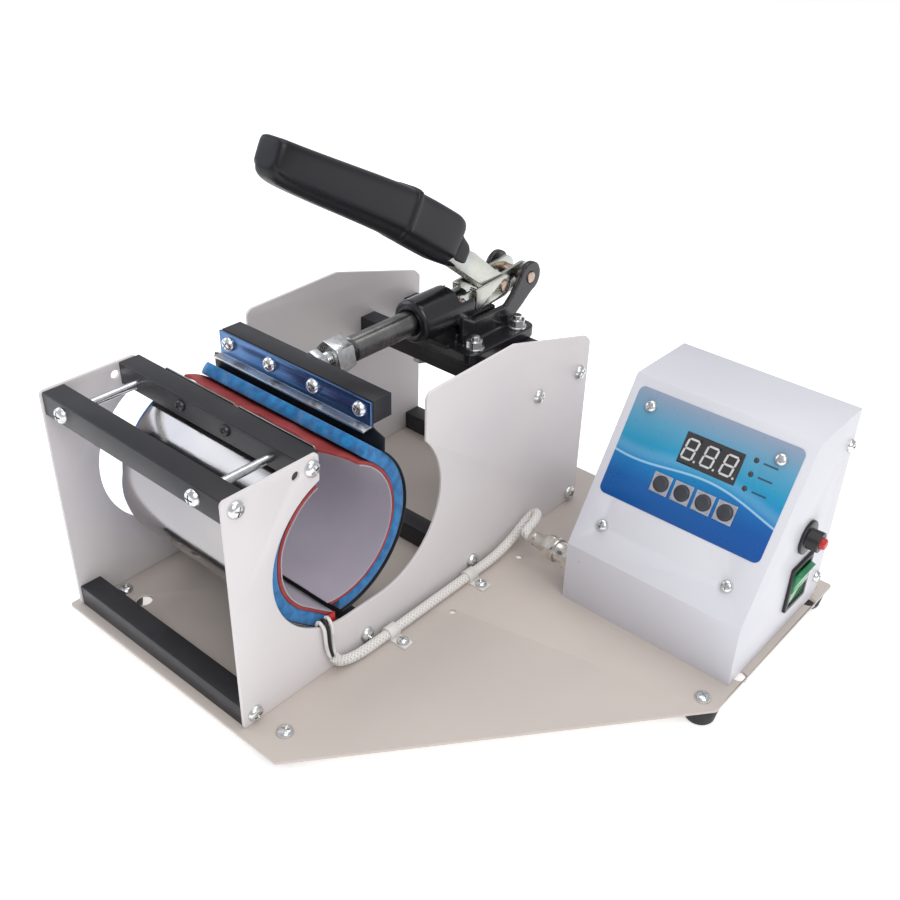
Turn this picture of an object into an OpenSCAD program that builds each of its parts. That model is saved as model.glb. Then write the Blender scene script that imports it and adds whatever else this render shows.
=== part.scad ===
// Mug heat press: a wrap-around heater closed by a push toggle clamp, with its controller box
// Millimetres. +X to the right along the mug, +Y to the rear, +Z up.
// The origin is on the bench, under the middle of the whole machine.

/* [Base] */
// Width of the base sheet
base_w = 344; // [330:1:420]
// Depth of the base sheet
base_d = 343; // [335:1:420]
// Thickness of the base sheet
base_t = 2; // [1.5:0.5:4]
// Width taken off the front right corner of the base
chamfer_w = 155; // [120:1:170]
// Depth taken off the front right corner of the base
chamfer_d = 192; // [150:1:200]
// Height of the rubber feet
foot_h = 11.5; // [6:0.5:20]
// Diameter of a rubber foot where it meets the base
foot_d = 21; // [16:1:26]

/* [Frame] */
// Distance between the outer faces of the two side plates
frame_w = 155; // [151:1:190]
// Length of a side plate, front to rear
frame_l = 306; // [300:1:330]
// Thickness of a side plate
plate_t = 2; // [1.5:0.5:3]
// Side of a square cross bar
bar = 14; // [12:1:16]
// Gap between the base's left edge and the left side plate
frame_inset = 4.5; // [4:0.5:8]
// Height of the front part of a side plate
front_h = 150; // [148:1:156]

/* [Wrap] */
// Diameter of the closed wrap, the mug's own diameter
mug_d = 84; // [80:1:86]
// Length of the rear half of the wrap, along the mug
rear_wrap_l = 146; // [100:1:147]
// Length of the front half of the wrap, along the mug
front_wrap_l = 127; // [100:1:130]
// Thickness of the inner liner
liner_t = 0.8; // [0.5:0.1:1.5]
// Thickness of the heater mat
heater_t = 2; // [1:0.2:3]
// Thickness of the sponge
sponge_t = 8; // [5:0.5:9]
// Thickness of the polished band and of the rear sheet
band_t = 0.8; // [0.5:0.1:1.2]

/* [Clamp] */
// Travel of the plunger
travel = 30; // [20:1:32]
// Diameter of the plunger
plunger_d = 16; // [14:1:18]
// Thread of the spindle
spindle_d = 10; // [8:1:12]
// Length of the moving clamp bar
jaw_l = 128; // [100:1:140]
// Diameter of the pivot pins
pin_d = 8; // [6:0.5:8]
// Radial clearance of a pin that turns
pin_clear = 0.05; // [0.02:0.01:0.1]

/* [Controller] */
// Width of the controller box
case_w = 119; // [116:1:125]
// Depth of the controller box
case_d = 112; // [108:1:125]
// Height of the controller box
case_h = 139; // [135:1:150]
// Thickness of the box's sheet
case_t = 1.2; // [1:0.1:2]
// Height of the upright front below the sloping face
kink_h = 42; // [40:1:50]
// Depth of the box's flat top
top_d = 54; // [45:1:58]

/* [Hidden] */
$fn = 48;
eps = 0.01;

// fits and fasteners
gap = 0.3;          // between pieces that pass each other
skin = 0.05;        // between layers that lie on each other
m5 = 5;
m5_hole = 5.3;
m4 = 4;
m4_hole = 4.3;

// places on the base, measured from the middle of the press and the front of its plates
front_lip = 4.5;
frame_x0 = frame_inset + frame_w/2;
case_gap = 5;
case_x1 = base_w - frame_x0 - case_gap;
case_x0 = case_x1 - case_w;
case_rear = base_d - front_lip - 17.5;
case_front = case_rear - case_d;
breaker_out = 12.5;
deck = foot_h + base_t;
left_x = -frame_x0;
right_x = case_x1 + breaker_out;
mid_x = (left_x + right_x)/2;
mid_y = base_d/2 - front_lip;

// frame
inner_x = frame_w/2 - plate_t;
bar_front_y = bar/2 + 1;
bar_second_y = 57;
bar_top_z = front_h - bar/2 - 0.5;
bottom_ys = [bar_front_y, 93.6, 190.5, frame_l - bar/2 - 1];
rear_bar_ys = [251, frame_l - bar/2 - 3];
rear_bar_z = 105;
spare_hole_y = bar_second_y - 10.2;

// wrap, centred on the mug
mug_y = 79.5;
mug_z = 84;
liner_r = mug_d/2;
heater_r = liner_r + liner_t;
sponge_r = heater_r + heater_t;
band_r = sponge_r + sponge_t;
outer_r = band_r + band_t;
front_x1 = inner_x - 2.5;
front_x0 = front_x1 - front_wrap_l;
tail_angle = 230;
tail_l = 27;
rear_top_angle = 81;
flap_angle = 48;
flap_l = 17;
rear_cut = 38.2;

// clamp, over the rear top bars
jaw_y = 115.7;
jaw_z0 = 137.5;
axis_z = rear_bar_z + bar/2 + 31.5;
flange_z0 = rear_bar_z + bar/2;
flange_t = 8;
flange_w = 62;
flange_y0 = rear_bar_ys[0] - 11;
flange_y1 = rear_bar_ys[1] + 13;
bolt_x = 23.5;
barrel_d = 29;
barrel_y0 = 213;
barrel_y1 = 262;
pin_c_y = 256;
pin_a_y = 318;
pin_a_z = axis_z + 4;
// the crank is long enough that a quarter turn of the lever draws the plunger back by its travel
line_angle = atan2(pin_a_z - axis_z, pin_a_y - pin_c_y);
line_l = norm([pin_a_y - pin_c_y, pin_a_z - axis_z]);
open_dy = pin_a_y - pin_c_y - travel;
open_dz = pin_a_z - axis_z;
crank_r = (line_l*line_l - open_dy*open_dy - open_dz*open_dz)
    /(2*(line_l - open_dy*sin(line_angle) + open_dz*cos(line_angle)));
link_l = line_l - crank_r;
pin_b_y = pin_a_y - crank_r*cos(line_angle);
pin_b_z = pin_a_z - crank_r*sin(line_angle);
nose_y = 160;
tongue_t = 8;
tongue_y0 = 246;
ear_in = 12.3;
ear_t = 4.2;
lever_out = 8.3;
lever_t = 2.3;
link_t = 2;
link_h = 16;
link_wide = lever_out + 0.4;
link_narrow = tongue_t/2 + 0.4;
lobe_r = 8;

// controller face
slope_run = case_d - top_d;
slope_rise = case_h - kink_h;
slope_l = sqrt(slope_run*slope_run + slope_rise*slope_rise);
slope_angle = atan2(slope_rise, slope_run);
overlay_w = case_w - 11;
overlay_h = 69;
overlay_v = 72.5;
overlay_t = 0.3;
display_u = 4;
display_v = 82.5;
display_w = 37.6;
display_h = 19;
lamp_u = 29.5;
lamp_vs = [91.3, 82.9, 74.1];
lamp_d = 3;
button_v = 57;
button_us = [-18, -3.8, 10.4, 24.6];
button_d = 9.6;
button_travel = 0.35;
tact_w = 12;
board_back = 9;
post_u = 42.5;
post_vs = [19.5, 97];
switch_y = case_front + 73;
switch_z = 34;
switch_w = 27;
switch_h = 33;
rocker_w = 20;
rocker_h = 26;
rocker_tilt = 11;
rocker_axis_x = -2.2;
rocker_hub_r = 5.5;
breaker_y = case_front + 71;
breaker_z = 69;

// heater lead: where its sleeve runs on the base and up to the box
gland_y = case_front + 9;
gland_z = 24.5;
gland_l = 34;
sleeve_d = 6.5;
sleeve_x = frame_w/2 + 6.5;
sleeve_start = [sleeve_x - 2.6, 63.6, 12];
sleeve_path = [
    sleeve_start, [sleeve_x - 2, 66.8, 7.2], [sleeve_x - 1, 75, 4.2], [sleeve_x, 88, 3.6], [sleeve_x, 108, 3.6],
    [sleeve_x, 144, 3.6], [sleeve_x, 181, 3.6], [sleeve_x, 206, 4.5], [sleeve_x, 224, 9],
    [84.5, 237, 16], [87.5, 243, 22], [92.5, 239.5, 24.5], [95.8, 231, gland_z],
    [97.2, gland_y + 5.5, gland_z], [98.8, gland_y + 1.3, gland_z], [102, gland_y, gland_z],
    [106, gland_y, gland_z], [case_x0 - gland_l + 10, gland_y, gland_z]
];
clip_ys = [108, 181];
wire_d = 2.2;
wire_stop = 1.4;    // the wires end this far above the sleeve
wire_pitch = 3;
wire_spread = [1, 1, 0.95, 0.9, 0.75, 0.55];

// ---------- helpers ----------
module press() {
    translate([-mid_x, -mid_y, deck]) children();
}

// along +X through the press, drawn in the YZ plane
module across(x0, x1) {
    translate([x0, 0, 0]) rotate([90, 0, 90]) linear_extrude(x1 - x0) children();
}

module bar_x(y, z, x0, x1, side) {
    translate([x0, y - side/2, z - side/2]) cube([x1 - x0, side, side]);
}

module rod_x(y, z, x0, x1, d) {
    translate([x0, y, z]) rotate([0, 90, 0]) cylinder(d = d, h = x1 - x0);
}

module rod_y(x, z, y0, y1, d) {
    translate([x, y0, z]) rotate([-90, 0, 0]) cylinder(d = d, h = y1 - y0);
}

// pan head screw, head above z = 0 and shank below it
module pan_screw(d, l, head_d = 10, head_h = 3) {
    difference() {
        union() {
            intersection() {
                cylinder(d = head_d, h = head_h);
                translate([0, 0, head_h - head_d*0.72]) sphere(d = head_d*1.44);
            }
            translate([0, 0, -l]) cylinder(d = d, h = l + eps);
        }
        for (a = [0, 90])
            rotate([0, 0, a + 20]) translate([-head_d*0.28, -0.5, head_h - 1.4]) cube([head_d*0.56, 1, 2]);
    }
}

module hex_nut(d, flats, h) {
    difference() {
        intersection() {
            cylinder(d = flats/cos(30), h = h, $fn = 6);
            translate([0, 0, h/2]) sphere(d = sqrt(pow(flats/cos(30)*0.97, 2) + h*h));
        }
        translate([0, 0, -1]) cylinder(d = d, h = h + 2);
    }
}

module rounded_rect(w, h, r) {
    square([w - 2*r, h], center = true);
    square([w, h - 2*r], center = true);
    for (sx = [-1, 1])
        for (sy = [-1, 1])
            translate([sx*(w/2 - r), sy*(h/2 - r)]) circle(r = r);
}

// half plane wedge between two angles, counted from +Y towards +Z
module wedge(a0, a1, r) {
    steps = 8;
    polygon(concat([[0, 0]], [for (i = [0:steps])
        let (a = a0 + (a1 - a0)*i/steps) [2*r*cos(a), 2*r*sin(a)]]));
}

module ring_part(r0, r1, a0, a1) {
    intersection() {
        difference() {
            circle(r = r1, $fn = 96);
            circle(r = r0, $fn = 96);
        }
        wedge(a0, a1, r1);
    }
}

// ---------- base ----------
foot_spots = [
    [left_x + 14, 26], [left_x + base_w - chamfer_w - 12, 13.5],
    [left_x + base_w - 11, chamfer_d - front_lip + 3], [left_x + base_w - 11, base_d - front_lip - 11],
    [left_x + 14, base_d - front_lip - 16]
];
spare_spots = [[frame_w/2 + 19, 150], [frame_w/2 + 15, 222]];
access_spots = [
    [-frame_w/2 + 26, 28], [case_x1 + 0.5, case_front + 12], [case_x1 + 0.5, case_front + 103]
];

module base_outline() {
    polygon([
        [left_x, -front_lip], [left_x + base_w - chamfer_w, -front_lip],
        [left_x + base_w, chamfer_d - front_lip], [left_x + base_w, base_d - front_lip],
        [left_x, base_d - front_lip]
    ]);
}

module base_plate() {
    color("#d9d4cb")
    press() difference() {
        translate([0, 0, -base_t]) linear_extrude(base_t) base_outline();
        for (p = foot_spots) translate([p[0], p[1], -base_t - 1]) cylinder(d = m5_hole, h = base_t + 2);
        for (p = spare_spots) translate([p[0], p[1], -base_t - 1]) cylinder(d = m4_hole, h = base_t + 2);
        for (p = access_spots) translate([p[0], p[1], -base_t - 1]) cylinder(d = 10, h = base_t + 2);
        for (y = clip_ys) translate([clip_screw_x(), y, -base_t - 1]) cylinder(d = m4_hole, h = base_t + 2);
    }
}

module rubber_feet() {
    color("#1b1b1d")
    press() for (p = foot_spots)
        translate([p[0], p[1], -base_t]) difference() {
            rotate([180, 0, 0]) cylinder(d1 = foot_d, d2 = foot_d - 4, h = foot_h);
            translate([0, 0, -foot_h - 1]) cylinder(d = m5_hole, h = foot_h + 2);
            translate([0, 0, -foot_h - 1]) cylinder(d = 11, h = 6);
        }
}

module foot_screws() {
    color("#c9ccd0")
    press() for (p = foot_spots)
        translate([p[0], p[1], 0]) {
            pan_screw(m5, base_t + foot_h - 2);
            translate([0, 0, -base_t - foot_h + 2]) hex_nut(m5, 8, 3);
        }
}

// ---------- side plates and bars ----------
slot_r = 52.5;
slot_y0 = mug_y;
slot_y1 = mug_y + 26.5;
slot_z = 83;
throat_y0 = 62.5;
throat_y1 = 144.5;
peak_h = front_h + 2;

module plate_outline() {
    corner = 5;
    difference() {
        union() {
            polygon([
                [0, 2], [2, 0], [frame_l - 2, 0], [frame_l, 2], [frame_l, front_h - 25],
                [frame_l - 5, front_h - 20], [223, peak_h], [throat_y1 + corner, front_h],
                [throat_y1, front_h - corner], [throat_y1, slot_z], [throat_y0, slot_z],
                [throat_y0, front_h - 3], [throat_y0 - 3, front_h], [3, front_h], [0, front_h - 3]
            ]);
            translate([throat_y1 + corner, front_h - corner]) circle(r = corner);
            translate([throat_y0 - 3, front_h - 3]) circle(r = 3);
            translate([3, front_h - 3]) circle(r = 3);
        }
        translate([slot_y0, slot_z]) circle(r = slot_r, $fn = 96);
        translate([slot_y1, slot_z]) circle(r = slot_r, $fn = 96);
        translate([slot_y0, slot_z - slot_r]) square([slot_y1 - slot_y0, 2*slot_r]);
        for (p = bar_screw_spots()) translate(p) circle(d = m5_hole);
        translate([spare_hole_y, bar_top_z]) circle(d = m5_hole);
    }
}

function bar_screw_spots() = concat(
    [[bar_front_y, bar_top_z], [bar_second_y, bar_top_z]],
    [for (y = bottom_ys) [y, bar/2]],
    [for (y = rear_bar_ys) [y, rear_bar_z]]
);

module side_plate(x0) {
    color("#dcd8d2") press() across(x0, x0 + plate_t) plate_outline();
}

module left_side_plate() {
    side_plate(-frame_w/2);
}

module right_side_plate() {
    side_plate(frame_w/2 - plate_t);
}

// a cross bar with a tapped hole in each end for a plate screw
module cross_bar(y, z) {
    difference() {
        bar_x(y, z, -inner_x, inner_x, bar);
        for (s = [-1, 1])
            rod_x(y, z, s > 0 ? inner_x - 14 : -inner_x - 1, s > 0 ? inner_x + 1 : -inner_x + 14, m5 + 2*skin);
    }
}

jack_xs = [-57.5, 55];
band_screw_xs = [-19, 19];

module front_top_bar() {
    color("#242428") press() difference() {
        cross_bar(bar_front_y, bar_top_z);
        for (x = jack_xs) rod_y(x, bar_top_z, 0, bar_front_y + bar, m5_hole);
    }
}

module second_top_bar() {
    color("#242428") press() difference() {
        cross_bar(bar_second_y, bar_top_z);
        for (x = jack_xs) rod_y(x, bar_top_z, bar_second_y - bar, bar_second_y - bar/2 + 4, m5 + 2*skin);
        for (x = band_screw_xs) rod_y(x, bar_top_z + 1, bar_second_y - bar, bar_second_y + bar, m4_hole);
    }
}

module bottom_bars() {
    color("#242428") press() for (y = bottom_ys) cross_bar(y, bar/2);
}

module rear_top_bars() {
    color("#242428") press() for (y = rear_bar_ys) difference() {
        cross_bar(y, rear_bar_z);
        for (x = [-bolt_x, bolt_x])
            translate([x, y, rear_bar_z - bar]) cylinder(d = 6 + 2*skin, h = 2*bar);
    }
}

module plate_screws() {
    color("#c9ccd0") press() for (s = [-1, 1]) for (p = bar_screw_spots())
        translate([s*frame_w/2, p[0], p[1]]) rotate([0, s*90, 0]) pan_screw(m5, plate_t + 12);
}

module jack_screws() {
    color("#c9ccd0") press() for (x = jack_xs)
        translate([x, bar_front_y - bar/2, bar_top_z]) rotate([90, 0, 0])
            pan_screw(m5, bar_second_y - bar_front_y + 3.5);
}

module band_screws() {
    color("#3a3a3e") press() for (x = band_screw_xs)
        translate([x, bar_second_y - bar/2, bar_top_z + 1]) rotate([90, 0, 0])
            pan_screw(m4, bar + band_t + 1, 7, 2.2);
}

// ---------- front half of the wrap ----------
// an arc round the front of the mug, then a straight tail under it, a hair thinner than the arc
module front_layer(r0, r1, top_angle, tail) {
    step = 0.02;
    translate([mug_y, mug_z]) {
        ring_part(r0, r1, top_angle, tail_angle);
        rotate(tail_angle) translate([r0 + step, -0.5]) square([r1 - r0 - 2*step, tail + 0.5]);
    }
}

leaf_y = bar_second_y + bar/2 + skin;
leaf_angle = acos((leaf_y - mug_y)/outer_r);

module front_band() {
    color("#b9bcc2") press() difference() {
        across(front_x0 + 3, front_x1) {
            front_layer(band_r + skin, outer_r, leaf_angle - 0.4, tail_l + 2);
            translate([leaf_y, mug_z + sin(leaf_angle)*outer_r - 1])
                square([band_t, front_h - mug_z - sin(leaf_angle)*outer_r + 0.5]);
        }
        for (x = band_screw_xs) rod_y(x, bar_top_z + 1, leaf_y - 1, leaf_y + band_t + 1, m4_hole);
    }
}

module front_sponge() {
    color("#1668b0") press() across(front_x0, front_x1)
        front_layer(sponge_r + skin, band_r, leaf_angle + 3, tail_l);
}

module front_heater() {
    color("#9c2f33") press() across(front_x0, front_x1)
        front_layer(heater_r + skin, sponge_r, leaf_angle + 3, tail_l + 1);
}

module front_liner() {
    color("#b3a9b8") press() across(front_x0, front_x1)
        front_layer(liner_r, heater_r, leaf_angle + 3, tail_l - 1);
}

// ---------- rear half of the wrap, carried by the plunger ----------
module rear_arc(r0, r1, top_angle) {
    translate([mug_y, mug_z]) difference() {
        ring_part(r0, r1, -130, top_angle);
        rotate(tail_angle) translate([rear_cut, -80]) square([60, 160]);
    }
}

// runs up behind the bracket, so the bracket's screws pass through it
module rear_sheet() {
    color("#1d1d20") press() difference() {
        across(-rear_wrap_l/2, rear_wrap_l/2) {
            rear_arc(band_r + skin, outer_r, flap_angle);
            polygon([
                [mug_y + cos(flap_angle)*(band_r + skin), mug_z + sin(flap_angle)*(band_r + skin)],
                [mug_y + cos(flap_angle)*outer_r, mug_z + sin(flap_angle)*outer_r],
                [jaw_y, jaw_z0 - 1], [jaw_y, jaw_z0 + bar], [jaw_y - band_t, jaw_z0 + bar],
                [jaw_y - band_t, jaw_z0 - 1]
            ]);
        }
        // the upper edge is trimmed to the bracket it is clamped behind
        for (s = [-1, 1]) translate([s > 0 ? jaw_l/2 : -rear_wrap_l, jaw_y - 5, jaw_z0 - 0.5])
            cube([rear_wrap_l - jaw_l/2, 10, bar + 1]);
        for (x = bracket_screw_xs) rod_y(x, bracket_z, jaw_y - 10, jaw_y + 5, m5_hole);
    }
}

module rear_sponge() {
    color("#1668b0") press() across(-rear_wrap_l/2 + 1, rear_wrap_l/2 - 1) {
        rear_arc(sponge_r + skin, band_r, flap_angle);
        translate([mug_y, mug_z]) rotate(flap_angle)
            translate([sponge_r + skin, -eps]) square([sponge_t - skin, flap_l]);
    }
}

module rear_heater() {
    color("#9c2f33") press() across(-rear_wrap_l/2 + 1, rear_wrap_l/2 - 1)
        rear_arc(heater_r + skin, sponge_r, rear_top_angle);
}

module rear_liner() {
    color("#b3a9b8") press() across(-rear_wrap_l/2 + 1, rear_wrap_l/2 - 1)
        rear_arc(liner_r, heater_r, rear_top_angle - 1);
}

bracket_t = 1.5;
bracket_y = jaw_y - band_t - skin - bracket_t;
bracket_screw_xs = [for (i = [0:3]) (i - 1.5)*jaw_l*0.29];
bracket_z = jaw_z0 + bar/2 + 0.5;

module bracket() {
    color("#c4c8ce") press() difference() {
        union() {
            translate([-jaw_l/2, bracket_y, jaw_z0 - 1]) cube([jaw_l, bracket_t, bar + 1]);
            translate([-jaw_l/2, bracket_y - 6, jaw_z0 - 1 - bracket_t]) cube([jaw_l, 6 + bracket_t, bracket_t]);
        }
        for (x = bracket_screw_xs) rod_y(x, bracket_z, jaw_y - 10, jaw_y + 1, m5_hole);
    }
}

module bracket_screws() {
    color("#c9ccd0") press() for (x = bracket_screw_xs)
        translate([x, bracket_y, bracket_z]) rotate([90, 0, 0]) pan_screw(m5, 10, 9.5, 2.8);
}

module clamp_bar() {
    color("#242428") press() difference() {
        translate([-jaw_l/2, jaw_y + skin, jaw_z0]) cube([jaw_l, bar, bar]);
        for (x = bracket_screw_xs) rod_y(x, bracket_z, jaw_y - 1, jaw_y + 11, m5 + 2*skin);
        rod_y(0, axis_z, jaw_y + 5, jaw_y + bar + 1, spindle_d + 2*skin);
    }
}

// ---------- toggle clamp ----------
module spindle() {
    color("#b4b7bb") press() rod_y(0, axis_z, jaw_y + 6, nose_y + 20, spindle_d);
}

module spindle_nuts() {
    color("#c9ccd0") press() {
        translate([0, jaw_y + bar + skin, axis_z]) rotate([-90, 15, 0]) hex_nut(spindle_d + 2*skin, 17, 6);
        translate([0, nose_y - 18, axis_z]) rotate([-90, 15, 0]) hex_nut(spindle_d + 2*skin, 21, 13);
    }
}

module plunger() {
    color("#8f9195") press() difference() {
        union() {
            rod_y(0, axis_z, nose_y + 1, tongue_y0, plunger_d);
            intersection() {
                rod_y(0, axis_z, tongue_y0 - eps, pin_c_y + lobe_r, plunger_d);
                translate([-tongue_t/2, tongue_y0 - 1, axis_z - 10]) cube([tongue_t, 30, 20]);
            }
            translate([0, nose_y, axis_z]) rotate([-90, 0, 0]) cylinder(d1 = plunger_d - 2, d2 = plunger_d, h = 1 + eps);
        }
        rod_y(0, axis_z, nose_y - 1, nose_y + 21, spindle_d + 2*skin);
        rod_x(pin_c_y, axis_z, -10, 10, pin_d + 2*skin);
    }
}

module plunger_pin() {
    color("#a08f86") press() rod_x(pin_c_y, axis_z, -link_narrow - link_t - 1, link_narrow + link_t + 1, pin_d);
}

module ear_outline() {
    polygon([
        [flange_y0 + 8, flange_z0 + flange_t - 1], [flange_y1 - 14, flange_z0 + flange_t - 1],
        [pin_a_y - 8, flange_z0 + flange_t + 9], [pin_a_y + 9.5, pin_a_z - 5.5], [pin_a_y - 6, pin_a_z + 9.2],
        [pin_b_y + 3.5, pin_b_z - 6], [pin_b_y - 3, axis_z - 9], [barrel_y1 - 3, axis_z - 9],
        [barrel_y1 - 16, axis_z - 2]
    ]);
    translate([pin_a_y, pin_a_z]) circle(r = 11);
}

module clamp_body() {
    color("#1c1c20") press() difference() {
        union() {
            // flange bolted to the two rear top bars
            translate([0, (flange_y0 + flange_y1)/2, flange_z0])
                linear_extrude(flange_t) rounded_rect(flange_w, flange_y1 - flange_y0, 7);
            // guide barrel and its rounded nose ring
            rod_y(0, axis_z, barrel_y0 + 2, barrel_y1, barrel_d);
            translate([0, barrel_y0, axis_z]) rotate([-90, 0, 0]) cylinder(d1 = barrel_d - 5, d2 = barrel_d, h = 2 + eps);
            // web between barrel and flange
            across(-9, 9) polygon([
                [barrel_y0 + 4, axis_z - 8], [flange_y0 + 1, flange_z0 + flange_t - 1],
                [flange_y1 - 14, flange_z0 + flange_t - 1], [barrel_y1 + 28, axis_z - 12], [barrel_y1 + 28, axis_z - 9.5],
                [barrel_y1 - 4, axis_z - 9.5]
            ]);
            // side cheeks rising to the ears that hold the handle pin
            for (s = [-1, 1])
                across(s > 0 ? ear_in : -ear_in - ear_t, s > 0 ? ear_in + ear_t : -ear_in) ear_outline();
            // foot that joins the cheeks
            translate([-ear_in - 1, flange_y0 + 9, flange_z0 + flange_t - 1])
                cube([2*ear_in + 2, flange_y1 - flange_y0 - 26, 7]);
        }
        // bore of the plunger
        rod_y(0, axis_z, barrel_y0 - 1, barrel_y1 + 1, plunger_d + 2*pin_clear);
        // room for the tongue and the link plates behind the barrel
        translate([-ear_in, barrel_y1 - 14, axis_z - 9]) cube([2*ear_in, 50, 40]);
        rod_x(pin_a_y, pin_a_z, -20, 20, pin_d + 2*skin);
        for (x = [-bolt_x, bolt_x]) for (y = rear_bar_ys)
            translate([x, y, flange_z0 - 1]) cylinder(d = 6.6, h = flange_t + 2);
    }
}

module clamp_bolts() {
    color("#c9ccd0") press() for (x = [-bolt_x, bolt_x]) for (y = rear_bar_ys)
        translate([x, y, 0]) {
            translate([0, 0, flange_z0 - bar - 4]) cylinder(d = 11.5, h = 4, $fn = 6);
            translate([0, 0, flange_z0 - bar - eps]) cylinder(d = 6, h = bar + flange_t + 9);
        }
}

module clamp_nuts() {
    color("#c9ccd0") press() for (x = [-bolt_x, bolt_x]) for (y = rear_bar_ys)
        translate([x, y, flange_z0 + flange_t]) difference() {
            union() {
                cylinder(d = 13.2, h = 1.2);
                cylinder(d = 10/cos(30), h = 6, $fn = 6);
            }
            translate([0, 0, -1]) cylinder(d = 6 + 2*skin, h = 8);
        }
}

module handle_pin() {
    color("#a08f86") press() rod_x(pin_a_y, pin_a_z, -ear_in - ear_t - 0.8, ear_in + ear_t + 0.8, pin_d);
}

// the pressed steel lever: two cheeks and a web over them, running up into the grip
neck_y = 262;
neck_z = pin_a_z + 25.5;
grip_w = 24;
grip_rim = 2.5;

module lever_cheek() {
    difference() {
        union() {
            translate([pin_a_y, pin_a_z]) circle(r = 9);
            translate([pin_b_y, pin_b_z]) circle(r = lobe_r);
            polygon([
                [pin_a_y - 1, pin_a_z - 9], [pin_a_y - 1, pin_a_z + 9], [pin_b_y + 1, pin_b_z + 8],
                [neck_y + 28, neck_z - 15], [neck_y + 4, neck_z + 5], [neck_y - 56, neck_z + 40],
                [neck_y - 60, neck_z + 33], [neck_y - 20, neck_z + 6], [neck_y - 6, neck_z - 6],
                [pin_b_y - 6, pin_b_z - 5], [pin_b_y - 1, pin_b_z - 8]
            ]);
        }
        translate([pin_a_y, pin_a_z]) circle(d = pin_d + 2*pin_clear);
    }
}

module handle_lever() {
    color("#b7b9b2") press() {
        for (s = [-1, 1])
            across(s > 0 ? lever_out - lever_t : -lever_out, s > 0 ? lever_out : -lever_out + lever_t) lever_cheek();
        across(-lever_out, lever_out) polygon([
            [neck_y + 28, neck_z - 15], [neck_y + 4, neck_z + 5], [neck_y - 56, neck_z + 40],
            [neck_y - 57, neck_z + 38], [neck_y + 3, neck_z + 3], [neck_y + 26.5, neck_z - 16.7]
        ]);
    }
}

// outline of the moulded grip, measured from the fixed pivot pin
module grip_outline() {
    translate([pin_a_y, pin_a_z]) polygon([
        [-218, 140], [-213, 138], [-173.5, 119], [-136, 100.5], [-113, 89], [-106, 85],
        [-69.5, 61.5], [-64.5, 56], [-63, 52], [-67.5, 44], [-61.5, 39], [-56, 33],
        [-56.5, 26.5], [-63.5, 21.5], [-71.5, 24], [-92.5, 36.2], [-110.7, 49.3], [-129.6, 62.6],
        [-150.6, 75], [-174.7, 88.7], [-198.3, 102.3], [-215, 113.2], [-228.5, 123.4], [-229.7, 126.7],
        [-226.4, 132.3], [-222.8, 137.9]
    ]);
}

// the sides are flat, with a raised pad kept clear of the rounded rim
module grip_solid() {
    across(-grip_w/2 + grip_rim, grip_w/2 - grip_rim) grip_outline();
    across(-grip_w/2, grip_w/2) offset(delta = -grip_rim) grip_outline();
}

module handle_grip() {
    color("#1a1a1e") press() difference() {
        grip_solid();
        across(-lever_out - skin, lever_out + skin) polygon([
            [neck_y + 38, neck_z - 22.8], [neck_y + 4.2, neck_z + 5.4], [neck_y - 56.2, neck_z + 40.6],
            [neck_y - 60.6, neck_z + 32.8], [neck_y - 20.2, neck_z + 5.4], [neck_y - 6.4, neck_z - 6.6],
            [neck_y + 10, neck_z - 25]
        ]);
    }
}

module link_outline(narrow) {
    difference() {
        union() {
            if (narrow) {
                translate([pin_c_y, axis_z]) circle(r = 7);
                translate([pin_c_y, axis_z]) rotate(line_angle) translate([0, -6]) square([13, 12]);
            } else {
                translate([pin_b_y, pin_b_z]) circle(r = link_h/2);
                translate([pin_c_y, axis_z]) rotate(line_angle)
                    translate([11, -link_h/2]) square([link_l - 11, link_h]);
            }
        }
        if (narrow) translate([pin_c_y, axis_z]) circle(d = pin_d + 2*pin_clear);
        if (!narrow) translate([pin_b_y, pin_b_z]) circle(d = pin_d + 2*skin);
    }
}

module link_plates() {
    color("#c0c4c4") press() for (s = [-1, 1]) {
        across(s > 0 ? link_narrow : -link_narrow - link_t, s > 0 ? link_narrow + link_t : -link_narrow)
            link_outline(true);
        across(s > 0 ? link_narrow : -link_wide - link_t, s > 0 ? link_wide + link_t : -link_narrow)
            translate([pin_c_y, axis_z]) rotate(line_angle) translate([11, -link_h/2]) square([2, link_h]);
        across(s > 0 ? link_wide : -link_wide - link_t, s > 0 ? link_wide + link_t : -link_wide)
            link_outline(false);
    }
}

module link_rivets() {
    color("#a08f86") press() for (s = [-1, 1])
        rod_x(pin_b_y, pin_b_z, s > 0 ? link_wide + skin : -link_wide - link_t - 1,
              s > 0 ? link_wide + link_t + 1 : -link_wide - skin, pin_d);
}

// ---------- heater lead ----------
function unit(v) = v/norm(v);

// smooth path through the chosen points
function spline_point(p, i, t) =
    let (a = p[max(i - 1, 0)], b = p[i], c = p[i + 1], d = p[min(i + 2, len(p) - 1)])
    0.5*((2*b) + (c - a)*t + (2*a - 5*b + 4*c - d)*t*t + (3*b - a - 3*c + d)*t*t*t);

function spline(p, n) = concat(
    [for (i = [0:len(p) - 2]) for (k = [0:n - 1]) spline_point(p, i, k/n)], [p[len(p) - 1]]);

function ring_at(c, t, r, sides) =
    let (side = unit(cross(t, abs(t[0]) > 0.9 ? [0, 0, 1] : [1, 0, 0])), up = cross(side, t))
    [for (k = [0:sides - 1]) c + r*cos(360*k/sides)*side + r*sin(360*k/sides)*up];

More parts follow.
